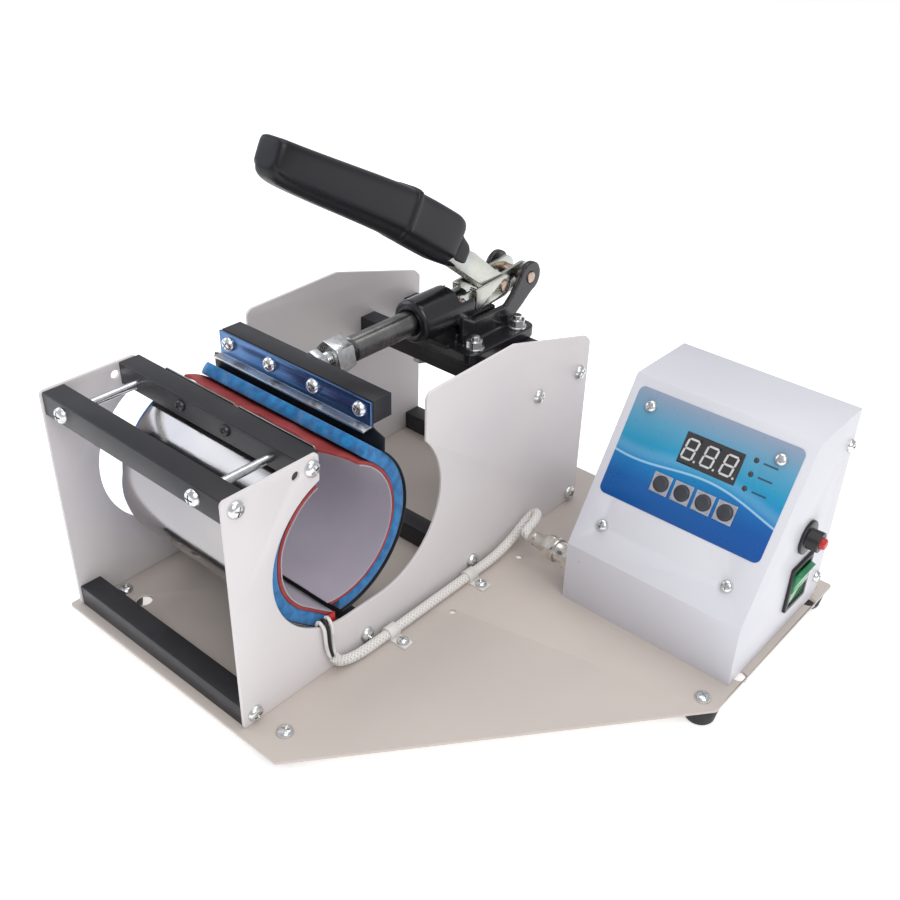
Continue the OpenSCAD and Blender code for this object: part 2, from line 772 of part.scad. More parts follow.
module tube(path, r, sides) {
    n = len(path);
    tangents = [for (i = [0:n - 1]) unit(path[min(i + 1, n - 1)] - path[max(i - 1, 0)])];
    points = [for (i = [0:n - 1]) each ring_at(path[i], tangents[i], r, sides)];
    walls = [for (i = [0:n - 2]) for (k = [0:sides - 1])
        [i*sides + k, i*sides + (k + 1)%sides, (i + 1)*sides + (k + 1)%sides, (i + 1)*sides + k]];
    polyhedron(points, concat([[for (k = [sides - 1:-1:0]) k]], walls,
        [[for (k = [0:sides - 1]) (n - 1)*sides + k]]));
}

module cable_sleeve() {
    color("#e6e3de") press() tube(spline(sleeve_path, 3), sleeve_d/2, 12);
}

wire_x0 = front_x1 + 0.9;
wire_path = [
    [wire_x0, 61, 35], [frame_w/2 - 1, 61, 38.4], [frame_w/2 + 2.4, 61.3, 34.5], [frame_w/2 + 2.6, 61.7, 25],
    [sleeve_x - 3.3, 62, 17.5], sleeve_start - wire_stop*unit(sleeve_path[1] - sleeve_start)
];

module heater_wires() {
    press() for (i = [-1:1])
        color(i == 0 ? "#202020" : "#e8e4dc")
        tube(spline([for (j = [0:5]) wire_path[j] + [0, i*wire_pitch*wire_spread[j], 0]], 3), wire_d/2, 8);
}

module earth_tab() {
    color("#b8242c") press() translate([front_x1 + skin, 66.5, 27]) cube([1, 6, 9]);
}

function clip_screw_x() = sleeve_x + sleeve_d/2 + 6.5;

module cable_clips() {
    color("#e8e8e8") press() for (y = clip_ys) difference() {
        union() {
            rod_y(sleeve_x, 3.6, y - 4, y + 4, sleeve_d + 2.4);
            translate([sleeve_x, y - 4, 0]) cube([clip_screw_x() - sleeve_x + 5, 8, 1.4]);
        }
        rod_y(sleeve_x, 3.6, y - 5, y + 5, sleeve_d + 2*skin);
        translate([sleeve_x - 6, y - 5, -3]) cube([40, 10, 3]);
        translate([clip_screw_x(), y, -1]) cylinder(d = m4_hole, h = 5);
    }
}

module clip_screws() {
    color("#c9ccd0") press() for (y = clip_ys) translate([clip_screw_x(), y, 1.4]) {
        pan_screw(m4, 1.4 + base_t + 4, 8, 2.6);
        translate([0, 0, -1.4 - base_t - 3.2]) hex_nut(m4, 7, 3);
    }
}

module cable_gland() {
    color("#bfc3c4") press() translate([case_x0, gland_y, gland_z]) rotate([0, -90, 0]) difference() {
        union() {
            translate([0, 0, skin]) cylinder(d = 16/cos(30), h = 4, $fn = 6);
            translate([0, 0, 4]) cylinder(d = 13, h = 8);
            translate([0, 0, 12]) cylinder(d = 16, h = 3);
            translate([0, 0, 15]) cylinder(d = 14/cos(30), h = 6, $fn = 6);
            translate([0, 0, 21]) cylinder(d1 = 12.5, d2 = 10, h = 5);
            for (i = [0:3]) translate([0, 0, 26 + i*2]) cylinder(d = i%2 == 0 ? 9.4 : 8.4, h = 2);
            translate([0, 0, -case_t - 4]) cylinder(d = 10, h = case_t + 5);
        }
        translate([0, 0, -case_t - 5]) cylinder(d = sleeve_d + 0.7, h = gland_l + case_t + 6);
    }
}

// ---------- controller ----------
module case_profile(inset) {
    i = inset;
    k = inset*tan((90 - slope_angle)/2);
    j = inset*tan(slope_angle/2);
    polygon([
        [i, 0], [case_d + 1, 0], [case_d + 1, case_h - i], [case_d - top_d + j, case_h - i], [i, kink_h - k]
    ]);
}

module at_case() {
    press() translate([case_x0 + case_w/2, case_front, 0]) children();
}

// on the sloping face: x to the right, y up the slope, z out of it
module on_face() {
    at_case() translate([0, 0, kink_h]) rotate([slope_angle, 0, 0]) children();
}

module case_shell() {
    color("#e3e4ea") difference() {
        at_case() difference() {
            across(-case_w/2, case_w/2) intersection() {
                case_profile(0);
                square([case_d, case_h]);
            }
            across(-case_w/2 + case_t, case_w/2 - case_t) case_profile(case_t);
        }
        on_face() {
            translate([display_u, display_v, -5]) linear_extrude(10) square([display_w + 0.6, display_h + 0.6], center = true);
            for (v = lamp_vs) translate([lamp_u, v, -5]) cylinder(d = lamp_d + 0.2, h = 10);
            for (u = button_us) translate([u, button_v, -5]) linear_extrude(10) square(tact_w + 0.4, center = true);
            for (u = [-post_u, post_u]) for (v = post_vs) translate([u, v, -5]) cylinder(d = m4_hole, h = 10);
        }
        press() {
            rod_x(gland_y, gland_z, case_x0 - 1, case_x0 + 3, 10 + 2*skin);
            translate([case_x1 - 4, switch_y - switch_w/2 + 2, switch_z - switch_h/2 + 2])
                cube([6, switch_w - 4, switch_h - 4]);
            rod_x(breaker_y, breaker_z, case_x1 - 4, case_x1 + 1, 12.2);
            for (z = panel_screw_zs) for (s = [0, 1])
                rod_x(panel_screw_y, z, s ? case_x1 - 3 : case_x0 - 1, s ? case_x1 + 1 : case_x0 + 3, m4_hole);
        }
    }
}

panel_screw_y = case_rear - 5;
panel_screw_zs = [18, 116];
panel_flange = 11;

module case_rear_panel() {
    color("#dfe0e5") difference() {
        press() {
            translate([case_x0 + case_t + gap, case_rear - case_t, 0])
                cube([case_w - 2*case_t - 2*gap, case_t, case_h - case_t - gap]);
            for (s = [0, 1])
                translate([s ? case_x1 - 2*case_t - gap : case_x0 + case_t + gap, case_rear - panel_flange, 0])
                    cube([case_t, panel_flange, case_h - case_t - gap]);
            translate([case_x0 + case_t + gap, case_rear - case_d + case_t + gap, 0])
                cube([case_w - 2*case_t - 2*gap, case_d - case_t - gap, case_t]);
        }
        press() {
            for (z = panel_screw_zs) rod_x(panel_screw_y, z, case_x0 - 5, case_x1 + 5, m4 + 2*skin);
            translate([case_x0 + case_w/2 - 14, case_rear - 5, 33]) cube([28, 10, 20]);
        }
    }
}

module case_screws() {
    color("#c9ccd0") {
        press() for (z = panel_screw_zs) for (s = [-1, 1])
            translate([s > 0 ? case_x1 : case_x0, panel_screw_y, z]) rotate([0, s*90, 0]) pan_screw(m4, 6, 8, 2.6);
        on_face() for (u = [-post_u, post_u]) for (v = post_vs)
            translate([u, v, v > 50 ? overlay_t : 0]) pan_screw(m4, 7, 8, 2.6);
    }
}

module face_overlay() {
    color("#2f9fd0") on_face() difference() {
        translate([0, overlay_v, skin]) linear_extrude(overlay_t - skin) rounded_rect(overlay_w, overlay_h, 4);
        translate([display_u, display_v, -5]) linear_extrude(10) square([display_w + 0.6, display_h + 0.6], center = true);
        for (v = lamp_vs) translate([lamp_u, v, -5]) cylinder(d = lamp_d + 0.2, h = 10);
        for (u = button_us) translate([u, button_v, -5]) linear_extrude(10) square(tact_w + 0.4, center = true);
        for (u = [-post_u, post_u]) translate([u, post_vs[1], -5]) cylinder(d = m4_hole, h = 10);
    }
}

module display() {
    color("#23252c") on_face() translate([display_u, display_v, -board_back]) difference() {
        translate([-display_w/2, -display_h/2, 0]) cube([display_w, display_h, board_back + 0.2]);
        for (i = [-1:1]) translate([i*12.6, 0, board_back + 0.2]) 
            translate([-4.5, -7.2, -0.25]) cube([9, 14.4, 0.5]);
    }
}

module indicator_lamps() {
    color("#2a2a30") on_face() for (v = lamp_vs) translate([lamp_u, v, -board_back + 0.1]) {
        cylinder(d = lamp_d, h = board_back);
        translate([0, 0, board_back]) intersection() {
            sphere(d = lamp_d);
            cylinder(d = lamp_d, h = lamp_d);
        }
        cylinder(d = lamp_d + 0.8, h = 1);
    }
}

module control_board() {
    color("#2d6a3a") on_face() difference() {
        translate([-case_w/2 + 8, 12, -board_back - 1.6]) cube([case_w - 16, slope_l - 24, 1.6 - skin]);
        for (u = [-post_u, post_u]) for (v = post_vs) translate([u, v, -20]) cylinder(d = m4_hole, h = 30);
    }
}

module mounting_posts() {
    color("#b0b3b6") on_face() for (u = [-post_u, post_u]) for (v = post_vs) translate([u, v, -board_back]) difference() {
        cylinder(d = 7/cos(30), h = board_back - case_t - skin, $fn = 6);
        translate([0, 0, -1]) cylinder(d = m4 + 2*skin, h = 20);
    }
}

module switch_bodies() {
    color("#c9c9cd") on_face() for (u = button_us) translate([u, button_v, -board_back]) difference() {
        translate([-tact_w/2, -tact_w/2, 0]) cube([tact_w, tact_w, board_back + 0.6]);
        translate([0, 0, board_back - 3]) cylinder(d = button_d + 2*0.08, h = 5);
    }
}

module button(i) {
    color("#77797f") on_face() translate([button_us[i], button_v, -3 + button_travel + 0.3]) {
        cylinder(d = button_d, h = 3.7);
        translate([0, 0, 3.7 - eps]) cylinder(d1 = button_d - 1, d2 = button_d - 2.4, h = 0.5);
    }
}

module button_1() {
    button(0);
}

module button_2() {
    button(1);
}

module button_3() {
    button(2);
}

module button_4() {
    button(3);
}

module power_board() {
    at_case() {
        color("#2d6a3a") translate([-45, 34, 8]) cube([80, 66, 1.6]);
        color("#d8b25a") translate([-38, 44, 9.6]) cube([34, 30, 28]);
        color("#3b6fb5") translate([8, 46, 9.6]) cube([19, 15, 15]);
        color("#b9bcc0") translate([4, 76, 9.6]) cube([24, 4, 26]);
        color("#1f1f22") for (x = [-34, -24]) translate([x, 88, 9.6]) cylinder(d = 8, h = 14);
        for (x = [-40, 30]) for (y = [38, 95]) color("#b0b3b6")
            translate([x, y, case_t]) cylinder(d = 6, h = 8 - case_t);
    }
}

module switch_frame() {
    color("#17181b") press() translate([case_x1, switch_y, switch_z]) rotate([0, 90, 0]) difference() {
        union() {
            translate([0, 0, skin]) linear_extrude(2.2 - skin) rounded_rect(switch_h, switch_w, 1.5);
            translate([0, 0, -18]) linear_extrude(19) square([switch_h - 4.4, switch_w - 4.4], center = true);
        }
        translate([0, 0, -9]) linear_extrude(14) square([rocker_h + 1, rocker_w + 0.8], center = true);
    }
}

module switch_rocker() {
    color("#1c8a4a") press() translate([case_x1 + rocker_axis_x, switch_y, switch_z])
        rotate([0, rocker_tilt, 0]) across_y(-rocker_w/2, rocker_w/2) {
            circle(r = rocker_hub_r);
            polygon([
                [-4.5, -2], [2.5, -rocker_h/2 + 0.6], [6, -rocker_h/2 + 0.8], [4.4, 0],
                [6, rocker_h/2 - 0.8], [2.5, rocker_h/2 - 0.6], [-4.5, 2]
            ]);
        }
}

// along +Y, drawn in the XZ plane
module across_y(y0, y1) {
    translate([0, y1, 0]) rotate([90, 0, 0]) linear_extrude(y1 - y0) children();
}

module breaker_body() {
    color("#17181b") press() translate([case_x1, breaker_y, breaker_z]) rotate([0, 90, 0]) difference() {
        union() {
            translate([0, 0, skin]) cylinder(d = 22, h = 2 - skin);
            translate([0, 0, 1]) cylinder(d = 13, h = breaker_out - 4);
            translate([0, 0, -20]) cylinder(d = 12, h = 21);
        }
        translate([0, 0, -6]) cylinder(d = 7 + 2*0.08, h = 30);
    }
}

module breaker_button() {
    color("#cf2b33") press() translate([case_x1 - 5, breaker_y, breaker_z]) rotate([0, 90, 0]) {
        cylinder(d = 7, h = 5 + breaker_out - 0.8);
        translate([0, 0, 5 + breaker_out - 0.8 - eps]) cylinder(d1 = 7, d2 = 5.4, h = 0.8 + eps);
    }
}

module power_inlet() {
    color("#17181b") press() translate([case_x0 + case_w/2, case_rear, 43]) rotate([-90, 0, 0]) difference() {
        union() {
            translate([0, 0, skin]) linear_extrude(3) rounded_rect(40, 24, 4);
            translate([-13.7, -9.7, -18]) cube([27.4, 19.4, 19]);
        }
        translate([0, 0, -12]) linear_extrude(20) rounded_rect(24, 16, 3);
    }
    color("#c9ccd0") press() for (x = [-7, 0, 7])
        translate([case_x0 + case_w/2 + x - 1, case_rear - 13, 42 + (x == 0 ? 3 : -2)]) cube([2, 12, 4]);
}

base_plate();
rubber_feet();
foot_screws();
left_side_plate();
right_side_plate();
front_top_bar();
second_top_bar();
bottom_bars();
rear_top_bars();
plate_screws();
jack_screws();
band_screws();
front_band();
front_sponge();
front_heater();
front_liner();
rear_sheet();
rear_sponge();
rear_heater();
rear_liner();
bracket();
bracket_screws();
clamp_bar();
spindle();
spindle_nuts();
plunger();
plunger_pin();
clamp_body();
clamp_bolts();
clamp_nuts();
handle_pin();
handle_lever();
handle_grip();
link_plates();
link_rivets();
heater_wires();
earth_tab();
cable_sleeve();
cable_clips();
clip_screws();
cable_gland();
case_shell();
case_rear_panel();
case_screws();
face_overlay();
display();
indicator_lamps();
control_board();
power_board();
mounting_posts();
switch_bodies();
button_1();
button_2();
button_3();
button_4();
switch_frame();
switch_rocker();
breaker_body();
breaker_button();
power_inlet();
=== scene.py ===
import math
import bpy
import bmesh
from mathutils import Matrix, Vector, noise


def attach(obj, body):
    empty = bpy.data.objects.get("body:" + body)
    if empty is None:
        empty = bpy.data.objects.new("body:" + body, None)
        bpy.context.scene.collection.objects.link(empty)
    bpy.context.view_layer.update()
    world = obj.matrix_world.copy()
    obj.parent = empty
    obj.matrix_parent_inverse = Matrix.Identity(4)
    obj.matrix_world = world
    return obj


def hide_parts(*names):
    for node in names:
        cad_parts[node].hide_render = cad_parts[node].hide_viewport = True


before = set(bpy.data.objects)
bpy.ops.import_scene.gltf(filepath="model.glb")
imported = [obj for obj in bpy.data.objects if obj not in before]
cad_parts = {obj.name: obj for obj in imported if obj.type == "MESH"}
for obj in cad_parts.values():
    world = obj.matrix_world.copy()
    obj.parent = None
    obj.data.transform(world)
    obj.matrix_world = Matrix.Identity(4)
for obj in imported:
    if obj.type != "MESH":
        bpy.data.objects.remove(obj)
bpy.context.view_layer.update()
scene = bpy.context.scene

# ---- Camera ----
# A close, slightly high viewpoint from the front right, with the lens a little off centre.
camera = bpy.data.objects.new("camera", bpy.data.cameras.new("camera"))
scene.collection.objects.link(camera)
camera.location = (0.33507, -0.41756, 0.46255)
camera.rotation_euler = [math.radians(a) for a in (57.0847, -1.9691, 40.4242)]
camera.data.lens = 43.737
camera.data.sensor_width = 36.0
camera.data.shift_x = -0.018195
camera.data.shift_y = 0.011234
camera.data.clip_start = 0.01
camera.data.clip_end = 20.0
scene.camera = camera

# ---- Floor and light ----
# A white paper floor that glows a little, under a pale sky, and three soft lamps: a strong one at
# the right, a weaker one above and a cool one at the left, for the bright metal to reflect.
scene.view_settings.view_transform = "Standard"


def press(x, y, z):
    """A place in the frame, from mm off the press's middle, its plates' front and its base's top."""
    return Vector(((x - 93.75) / 1000, (y - 167) / 1000, (z + 13.5) / 1000))


class Value:
    """The output of a shader node, with arithmetic that adds Math nodes."""

    def __init__(self, paint, socket):
        self.paint, self.socket = paint, socket

    def _math(self, operation, a, b=None):
        return self.paint.add("Math", [a] if b is None else [a, b], operation=operation)

    def __add__(self, o): return self._math("ADD", self, o)
    def __radd__(self, o): return self._math("ADD", o, self)
    def __sub__(self, o): return self._math("SUBTRACT", self, o)
    def __rsub__(self, o): return self._math("SUBTRACT", o, self)
    def __mul__(self, o): return self._math("MULTIPLY", self, o)
    def __rmul__(self, o): return self._math("MULTIPLY", o, self)
    def __truediv__(self, o): return self._math("DIVIDE", self, o)
    def __pow__(self, o): return self._math("POWER", self, o)
    def __gt__(self, o): return self._math("GREATER_THAN", self, o)
    def __lt__(self, o): return self._math("LESS_THAN", self, o)
    def sine(self): return self._math("SINE", self)
    def size(self): return self._math("ABSOLUTE", self)
    def most(self, o): return self._math("MAXIMUM", self, o)

    def smooth(self, low, high):
        """0 below low, 1 above high, and a soft step between them."""
        return self.paint.add("MapRange", {"Value": self, "From Min": low, "From Max": high},
                              interpolation_type="SMOOTHSTEP")


class Paint:
    """A material with one Principled surface, whose nodes come from add()."""

    def __init__(self, name, **surface):
        self.material = bpy.data.materials.new(name)
        self.material.use_nodes = True
        self.nodes, self.links = self.material.node_tree.nodes, self.material.node_tree.links
        self.surface = self.nodes["Principled BSDF"]
        self.place = Value(self, self.nodes.new("ShaderNodeTexCoord").outputs["Object"])
        self.set(**surface)

    def plug(self, socket, what):
        if isinstance(what, Value):
            self.links.new(what.socket, socket)
        elif socket.type == "RGBA" and len(what) == 3:
            socket.default_value = (*what, 1.0)
        else:
            socket.default_value = what

    def set(self, **surface):
        for name, what in surface.items():
            self.plug(self.surface.inputs[name.replace("_", " ")], what)
        return self

    def add(self, kind, inputs=(), output=0, stops=None, **settings):
        """One node: its settings and stops first, then its inputs by place or by name."""
        node = self.nodes.new("ShaderNode" + kind)
        for name, what in settings.items():
            setattr(node, name, what)
        if stops:
            while len(node.color_ramp.elements) < len(stops):
                node.color_ramp.elements.new(0.5)
            for element, (at, colour) in zip(node.color_ramp.elements, stops):
                element.position, element.color = at, (*colour, 1.0)
        named = inputs.items() if isinstance(inputs, dict) else enumerate(inputs)
        for name, what in named:
            self.plug(node.inputs[name], what)
        return Value(self, node.outputs[output])

    def noise(self, scale, detail=3.0, roughness=0.5, place=None, **settings):
        return self.add("TexNoise", {"Vector": place or self.place, "Scale": scale, "Detail": detail,
                                     "Roughness": roughness}, **settings)

    def cells(self, scale, place=None, feature="F1", output="Distance"):
        return self.add("TexVoronoi", {"Vector": place or self.place, "Scale": scale}, output, feature=feature)

    def mix(self, share, a, b):
        """Colour a at 0 and b at 1."""
        return self.add("Mix", {0: share, 6: a, 7: b}, 2, data_type="RGBA")

    def stretched(self, x, y, z, turn=(0, 0, 0)):
        return self.add("Mapping", {"Vector": self.place, "Scale": (x, y, z), "Rotation": turn})

    def mottle(self, patches, step, first, second, gloss, spread, least):
        """Patches of two colours, and a roughness that wanders above its least."""
        return self.set(Base_Color=self.mix(self.noise(*patches).smooth(*step), first, second),
                        Roughness=self.noise(*gloss) * spread + least)

    def bump(self, height, depth, strength=1.0):
        """Depth is in metres."""
        return self.set(Normal=self.add("Bump", {"Strength": strength, "Distance": depth, "Height": height}))


def link(thing, name=None):
    """A mesh as an object of the scene, at the origin."""
    made = bpy.data.objects.new(name or thing.name, thing)
    scene.collection.objects.link(made)
    return made


def area_lamp(name, at, towards, size, power, colour):
    lamp = bpy.data.lights.new(name, "AREA")
    lamp.shape, lamp.size, lamp.energy, lamp.color = "SQUARE", size, power, colour
    made = link(lamp, name)
    made.location = at
    made.rotation_euler = (Vector(towards) - Vector(at)).to_track_quat("-Z", "Y").to_euler()
    return made


sky = bpy.data.worlds.new("sky")
scene.world = sky
sky.use_nodes = True
sky.node_tree.nodes["Background"].inputs["Color"].default_value = (0.90, 0.91, 0.96, 1.0)
sky.node_tree.nodes["Background"].inputs["Strength"].default_value = 0.62
area_lamp("lamp_right", (0.95, -0.55, 1.25), (0, 0, 0.05), 0.9, 10.5, (1.0, 0.985, 0.96))
area_lamp("lamp_left", (-1.3, -0.5, 0.8), (0, 0, 0.08), 0.9, 4.5, (0.88, 0.93, 1.0))
area_lamp("lamp_top", (-0.1, 0.35, 1.5), (0, 0, 0.05), 1.2, 7.0, (1.0, 0.985, 0.965))

floor_paint = Paint("floor_paper", Base_Color=(0.93, 0.93, 0.93), Roughness=0.85, Specular_IOR_Level=0.0,
                    Emission_Color=(1.0, 1.0, 1.0), Emission_Strength=0.42)
floor_mesh = bpy.data.meshes.new("floor")
floor_mesh.from_pydata([(-6, -6, -0.0002), (6, -6, -0.0002), (6, 6, -0.0002), (-6, 6, -0.0002)], [],
                       [(0, 1, 2, 3)])
floor_mesh.materials.append(floor_paint.material)
link(floor_mesh)

# ---- Base and side plates ----
# Folded and laser-cut steel sheet 2 mm thick, powder coated a warm off-white. The base lies on
# five feet, and the two upright plates are screwed to it and to the cross bars.
PLATE = 2.0
FRAME_HALF = 77.5


def arc(centre, radius, start, end, steps=24):
    """Points of a circle's arc, in degrees."""
    turns = [math.radians(start + (end - start) * i / steps) for i in range(steps + 1)]
    return [(centre[0] + radius * math.cos(a), centre[1] + radius * math.sin(a)) for a in turns]


def circle(centre, radius, steps=32):
    return arc(centre, radius, 0, 360 * (steps - 1) / steps, steps - 1)


def rounded(corners, steps=6):
    """A closed outline from (x, y, radius) corners."""
    made, n = [], len(corners)
    for i, (x, y, r) in enumerate(corners):
        here = Vector((x, y))
        if r <= 0:
            made.append((x, y))
            continue
        a = (Vector(corners[i - 1][:2]) - here).normalized()
        b = (Vector(corners[(i + 1) % n][:2]) - here).normalized()
        half = max(a.angle(b) / 2, 0.01)
        reach = r / math.tan(half)
        middle = here + (a + b).normalized() * (r / math.sin(half))
        p, q = here + a * reach - middle, here + b * reach - middle
        turn = p.angle_signed(q)
        for k in range(steps + 1):
            spin = Matrix.Rotation(-turn * k / steps, 2)
            v = middle + spin @ p
            made.append((v.x, v.y))
    return made


def sheet_part(name, outline, holes, thick, place, paint, bevel=0.25, smooth=True, steps=2):
    """A flat piece of that thickness with rounded edges. place turns (u, v, height) in mm into the frame."""
    curve = bpy.data.curves.new(name, "CURVE")
    curve.dimensions, curve.fill_mode = "2D", "BOTH"
    bevel = min(bevel, thick * 0.45)
    curve.extrude, curve.bevel_depth, curve.bevel_resolution = thick / 2 - bevel, bevel, steps
    curve.offset = -bevel
    for points in [outline, *holes]:
        spline = curve.splines.new("POLY")
        spline.points.add(len(points) - 1)
        for point, (u, v) in zip(spline.points, points):
            point.co = (u, v, 0, 1)
        spline.use_cyclic_u = True
    outline_object = link(curve)
    mesh = bpy.data.meshes.new_from_object(outline_object.evaluated_get(bpy.context.evaluated_depsgraph_get()))
    bpy.data.objects.remove(outline_object)
    for vertex in mesh.vertices:
        vertex.co = place(vertex.co.x, vertex.co.y, vertex.co.z)
    return tidy_mesh(name, mesh, paint, smooth)


def drawn(name, work):
    """The work's faces as a mesh."""
    mesh = bpy.data.meshes.new(name)
    work.to_mesh(mesh)
    work.free()
    return mesh


def tidy_mesh(name, mesh, paint, smooth=True, join=1e-6):
    """Merges doubles, points faces outwards, shades it and gives it its finish."""
    work = bmesh.new()
    work.from_mesh(mesh)
    bmesh.ops.remove_doubles(work, verts=work.verts, dist=join)
    bmesh.ops.recalc_face_normals(work, faces=work.faces)
    work.to_mesh(mesh)
    work.free()
    mesh.name = name
    mesh.materials.clear()
    mesh.materials.append(paint.material)
    if smooth:
        mesh.shade_smooth()
        mesh.set_sharp_from_angle(angle=math.radians(38))
    return link(mesh)


def stands_for(piece, body, slot, *nodes):
    """The piece rides on the body and stands for the nodes, which are hidden. The slot is not used."""
    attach(piece, body)
    if nodes:
        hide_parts(*nodes)
    return piece


def powder_coat(name, colour, shade, rough):
    """Sprayed powder: a fine orange peel, faint patches, and a few dark specks."""
    paint = Paint(name, Specular_IOR_Level=0.45)
    patch = paint.noise(9.0, 4.0).smooth(0.3, 0.75)
    grain = paint.noise(2200.0, 2.0)
    speck = paint.cells(95.0, paint.place)
    fleck = (1 - speck.smooth(0.035, 0.07)) * (paint.noise(60.0) > 0.62)
    colour = paint.mix(patch, colour, shade)
    colour = paint.mix(fleck * 0.45, colour, (0.22, 0.19, 0.17))
    paint.set(Base_Color=colour, Roughness=paint.noise(40.0) * 0.12 + (rough - 0.06))
    return paint.bump(paint.noise(620.0, 2.0) + grain * 0.25, 0.00006, 0.5)


plate_paint = powder_coat("plate_powder_coat", (0.70, 0.665, 0.66), (0.64, 0.61, 0.62), 0.42)
# The base gets a darker, browner copy of the plates' off-white coat: painted shade over the same coat.
base_coat_painted_shade = powder_coat("base_powder_coat_painted_shade", (0.56, 0.50, 0.455), (0.51, 0.46, 0.42), 0.42)

LEFT, FRONT = -82.0, -4.5
BASE_W, BASE_D, CHAMFER_W, CHAMFER_D = 344.0, 343.0, 155.0, 192.0
FEET = [(-68, 26), (95, 13.5), (251, 190.5), (251, 327.5), (-68, 322.5)]
base_outline = rounded([
    (LEFT, FRONT, 2), (LEFT + BASE_W - CHAMFER_W, FRONT, 2), (LEFT + BASE_W, FRONT + CHAMFER_D, 2),
    (LEFT + BASE_W, FRONT + BASE_D, 2), (LEFT, FRONT + BASE_D, 2)])
base_holes = [circle(p, 2.15) for p in [(96.5, 150), (92.5, 222)]]
base_holes += [circle(p, 5) for p in [(-51.5, 28), (257.5, 221), (257.5, 312)]]
base_plate = sheet_part("base_plate_sheet", base_outline, base_holes, PLATE,
                        lambda u, v, h: press(u, v, h - PLATE / 2), base_coat_painted_shade, 0.35)
stands_for(base_plate, "press", "cream_paint", "base_plate")

BAR = 14.0
BAR_TOP = 142.5
BOTTOM_BARS = (8, 93.6, 190.5, 298)
PLATE_SCREWS = [(8, BAR_TOP), (57, BAR_TOP)] + [(y, 7) for y in BOTTOM_BARS] + [(251, 105), (296, 105)]
SLOT_Z = 83.0
SLOT_R = 52.5
slot_edge = arc((106, SLOT_Z), SLOT_R, 43, -90, 26) + arc((79.5, SLOT_Z), SLOT_R, -90, -251, 32)
plate_outline = rounded([(0, 75, 0), (0, 0, 2), (306, 0, 2), (306, 125, 4), (301, 130, 6), (223, 152, 8),
                         (144.5, 150, 5), (144.5, 119, 0)]) + slot_edge
plate_outline += rounded([(62.5, 134, 0), (62.5, 150, 3), (0, 150, 3), (0, 80, 0)])
for side, name in ((-1, "left_side_plate"), (1, "right_side_plate")):
    plate = sheet_part(
        name + "_sheet", plate_outline, [circle((46.8, BAR_TOP), 2.65)], PLATE,
        lambda u, v, h, s=side: press(s * (FRAME_HALF - PLATE / 2) + h, u, v), plate_paint, 0.45)
    stands_for(plate, "press", "cream_paint", name)

# ---- Cross bars ----
# Eight square steel bars, 14 mm, tapped at their ends and painted satin black. Two of them at the
# front carry the fixed half of the wrap, four stand on the base, and two at the rear hold the clamp.
bar_paint = Paint("black_bar_paint", Specular_IOR_Level=0.4)
bar_paint.mottle((30.0, 4.0), (0.35, 0.8), (0.016, 0.016, 0.019), (0.026, 0.026, 0.030),
                 (90.0, 3.0), 0.16, 0.30)
bar_paint.bump(bar_paint.noise(900.0, 3.0) + bar_paint.noise(150.0) * 0.6, 0.00005, 0.5)


def bar_holes(mesh_object, cuts):
    """Bores round holes, each from one point to another in the frame, through a piece."""
    for a, b, radius in cuts:
        a, b = Vector(a), Vector(b)
        work = bmesh.new()
        turn = (b - a).to_track_quat("Z", "Y").to_matrix().to_4x4()
        bmesh.ops.create_cone(work, cap_ends=True, segments=24, radius1=radius, radius2=radius,
                              depth=(b - a).length, matrix=Matrix.Translation((a + b) / 2) @ turn)
        drill = link(drawn("drill", work))
        cut = mesh_object.modifiers.new("hole", "BOOLEAN")
        cut.operation, cut.solver, cut.object = "DIFFERENCE", "EXACT", drill
        done = bpy.data.meshes.new_from_object(
            mesh_object.evaluated_get(bpy.context.evaluated_depsgraph_get()))
        mesh_object.modifiers.clear()
        mesh_object.data = done
        bpy.data.objects.remove(drill)
    return mesh_object


def block(name, low, high, paint, bevel=0.6, body="press", slot="black_paint", nodes=(), segments=3, cuts=()):
    """A box with rounded edges between two corners given in mm of the press."""
    work = bmesh.new()
    bmesh.ops.create_cube(work, size=1)
    a, b = press(*low), press(*high)
    for vertex in work.verts:
        vertex.co = Vector([(a[i] + b[i]) / 2 + vertex.co[i] * (b[i] - a[i]) for i in range(3)])
    bmesh.ops.bevel(work, geom=work.edges[:], offset=bevel / 1000, segments=segments, profile=0.5,
                    affect="EDGES")
    made = bar_holes(tidy_mesh(name, drawn(name, work), paint), cuts)
    if cuts:
        made.data.shade_smooth()
        made.data.set_sharp_from_angle(angle=math.radians(38))
    return stands_for(made, body, slot, *nodes)


BAR_X = FRAME_HALF - PLATE
JACKS = (-57.5, 55.0)
BANDS = (-19.0, 19.0)


def cross_bar(name, y, z, node=None, cuts=()):
    return block(name, (-BAR_X, y - BAR / 2, z - BAR / 2), (BAR_X, y + BAR / 2, z + BAR / 2), bar_paint,
                 nodes=[node] if node else [], cuts=cuts)


cross_bar("bar_front_top", 8, BAR_TOP, "front_top_bar")
cross_bar("bar_second_top", 57, BAR_TOP, "second_top_bar",
          [(press(x, 40, BAR_TOP + 1), press(x, 70, BAR_TOP + 1), 0.00215) for x in BANDS])
for number, y in enumerate(BOTTOM_BARS):
    cross_bar(f"bar_bottom_{number + 1}", y, 7, "bottom_bars")
for number, y in enumerate((251, 296)):
    cross_bar(f"bar_rear_top_{number + 1}", y, 105, "rear_top_bars")

# ---- Screws ----
# Cross-headed pan screws, bright zinc on steel, a few of them black. Every head is the same
# turned dome with a pressed cross, set on its place by one node tree and spun by chance.
zinc = Paint("bright_zinc", Metallic=1.0)
zinc.mottle((300.0, 4.0), (0.3, 0.7), (0.80, 0.81, 0.80), (0.62, 0.63, 0.63), (500.0, 3.0), 0.22, 0.12)
zinc.bump(zinc.noise(1500.0, 2.0), 0.00002, 0.4)
black_zinc = Paint("black_zinc", Metallic=0.8, Base_Color=(0.06, 0.06, 0.065))
black_zinc.set(Roughness=black_zinc.noise(500.0, 3.0) * 0.2 + 0.25)


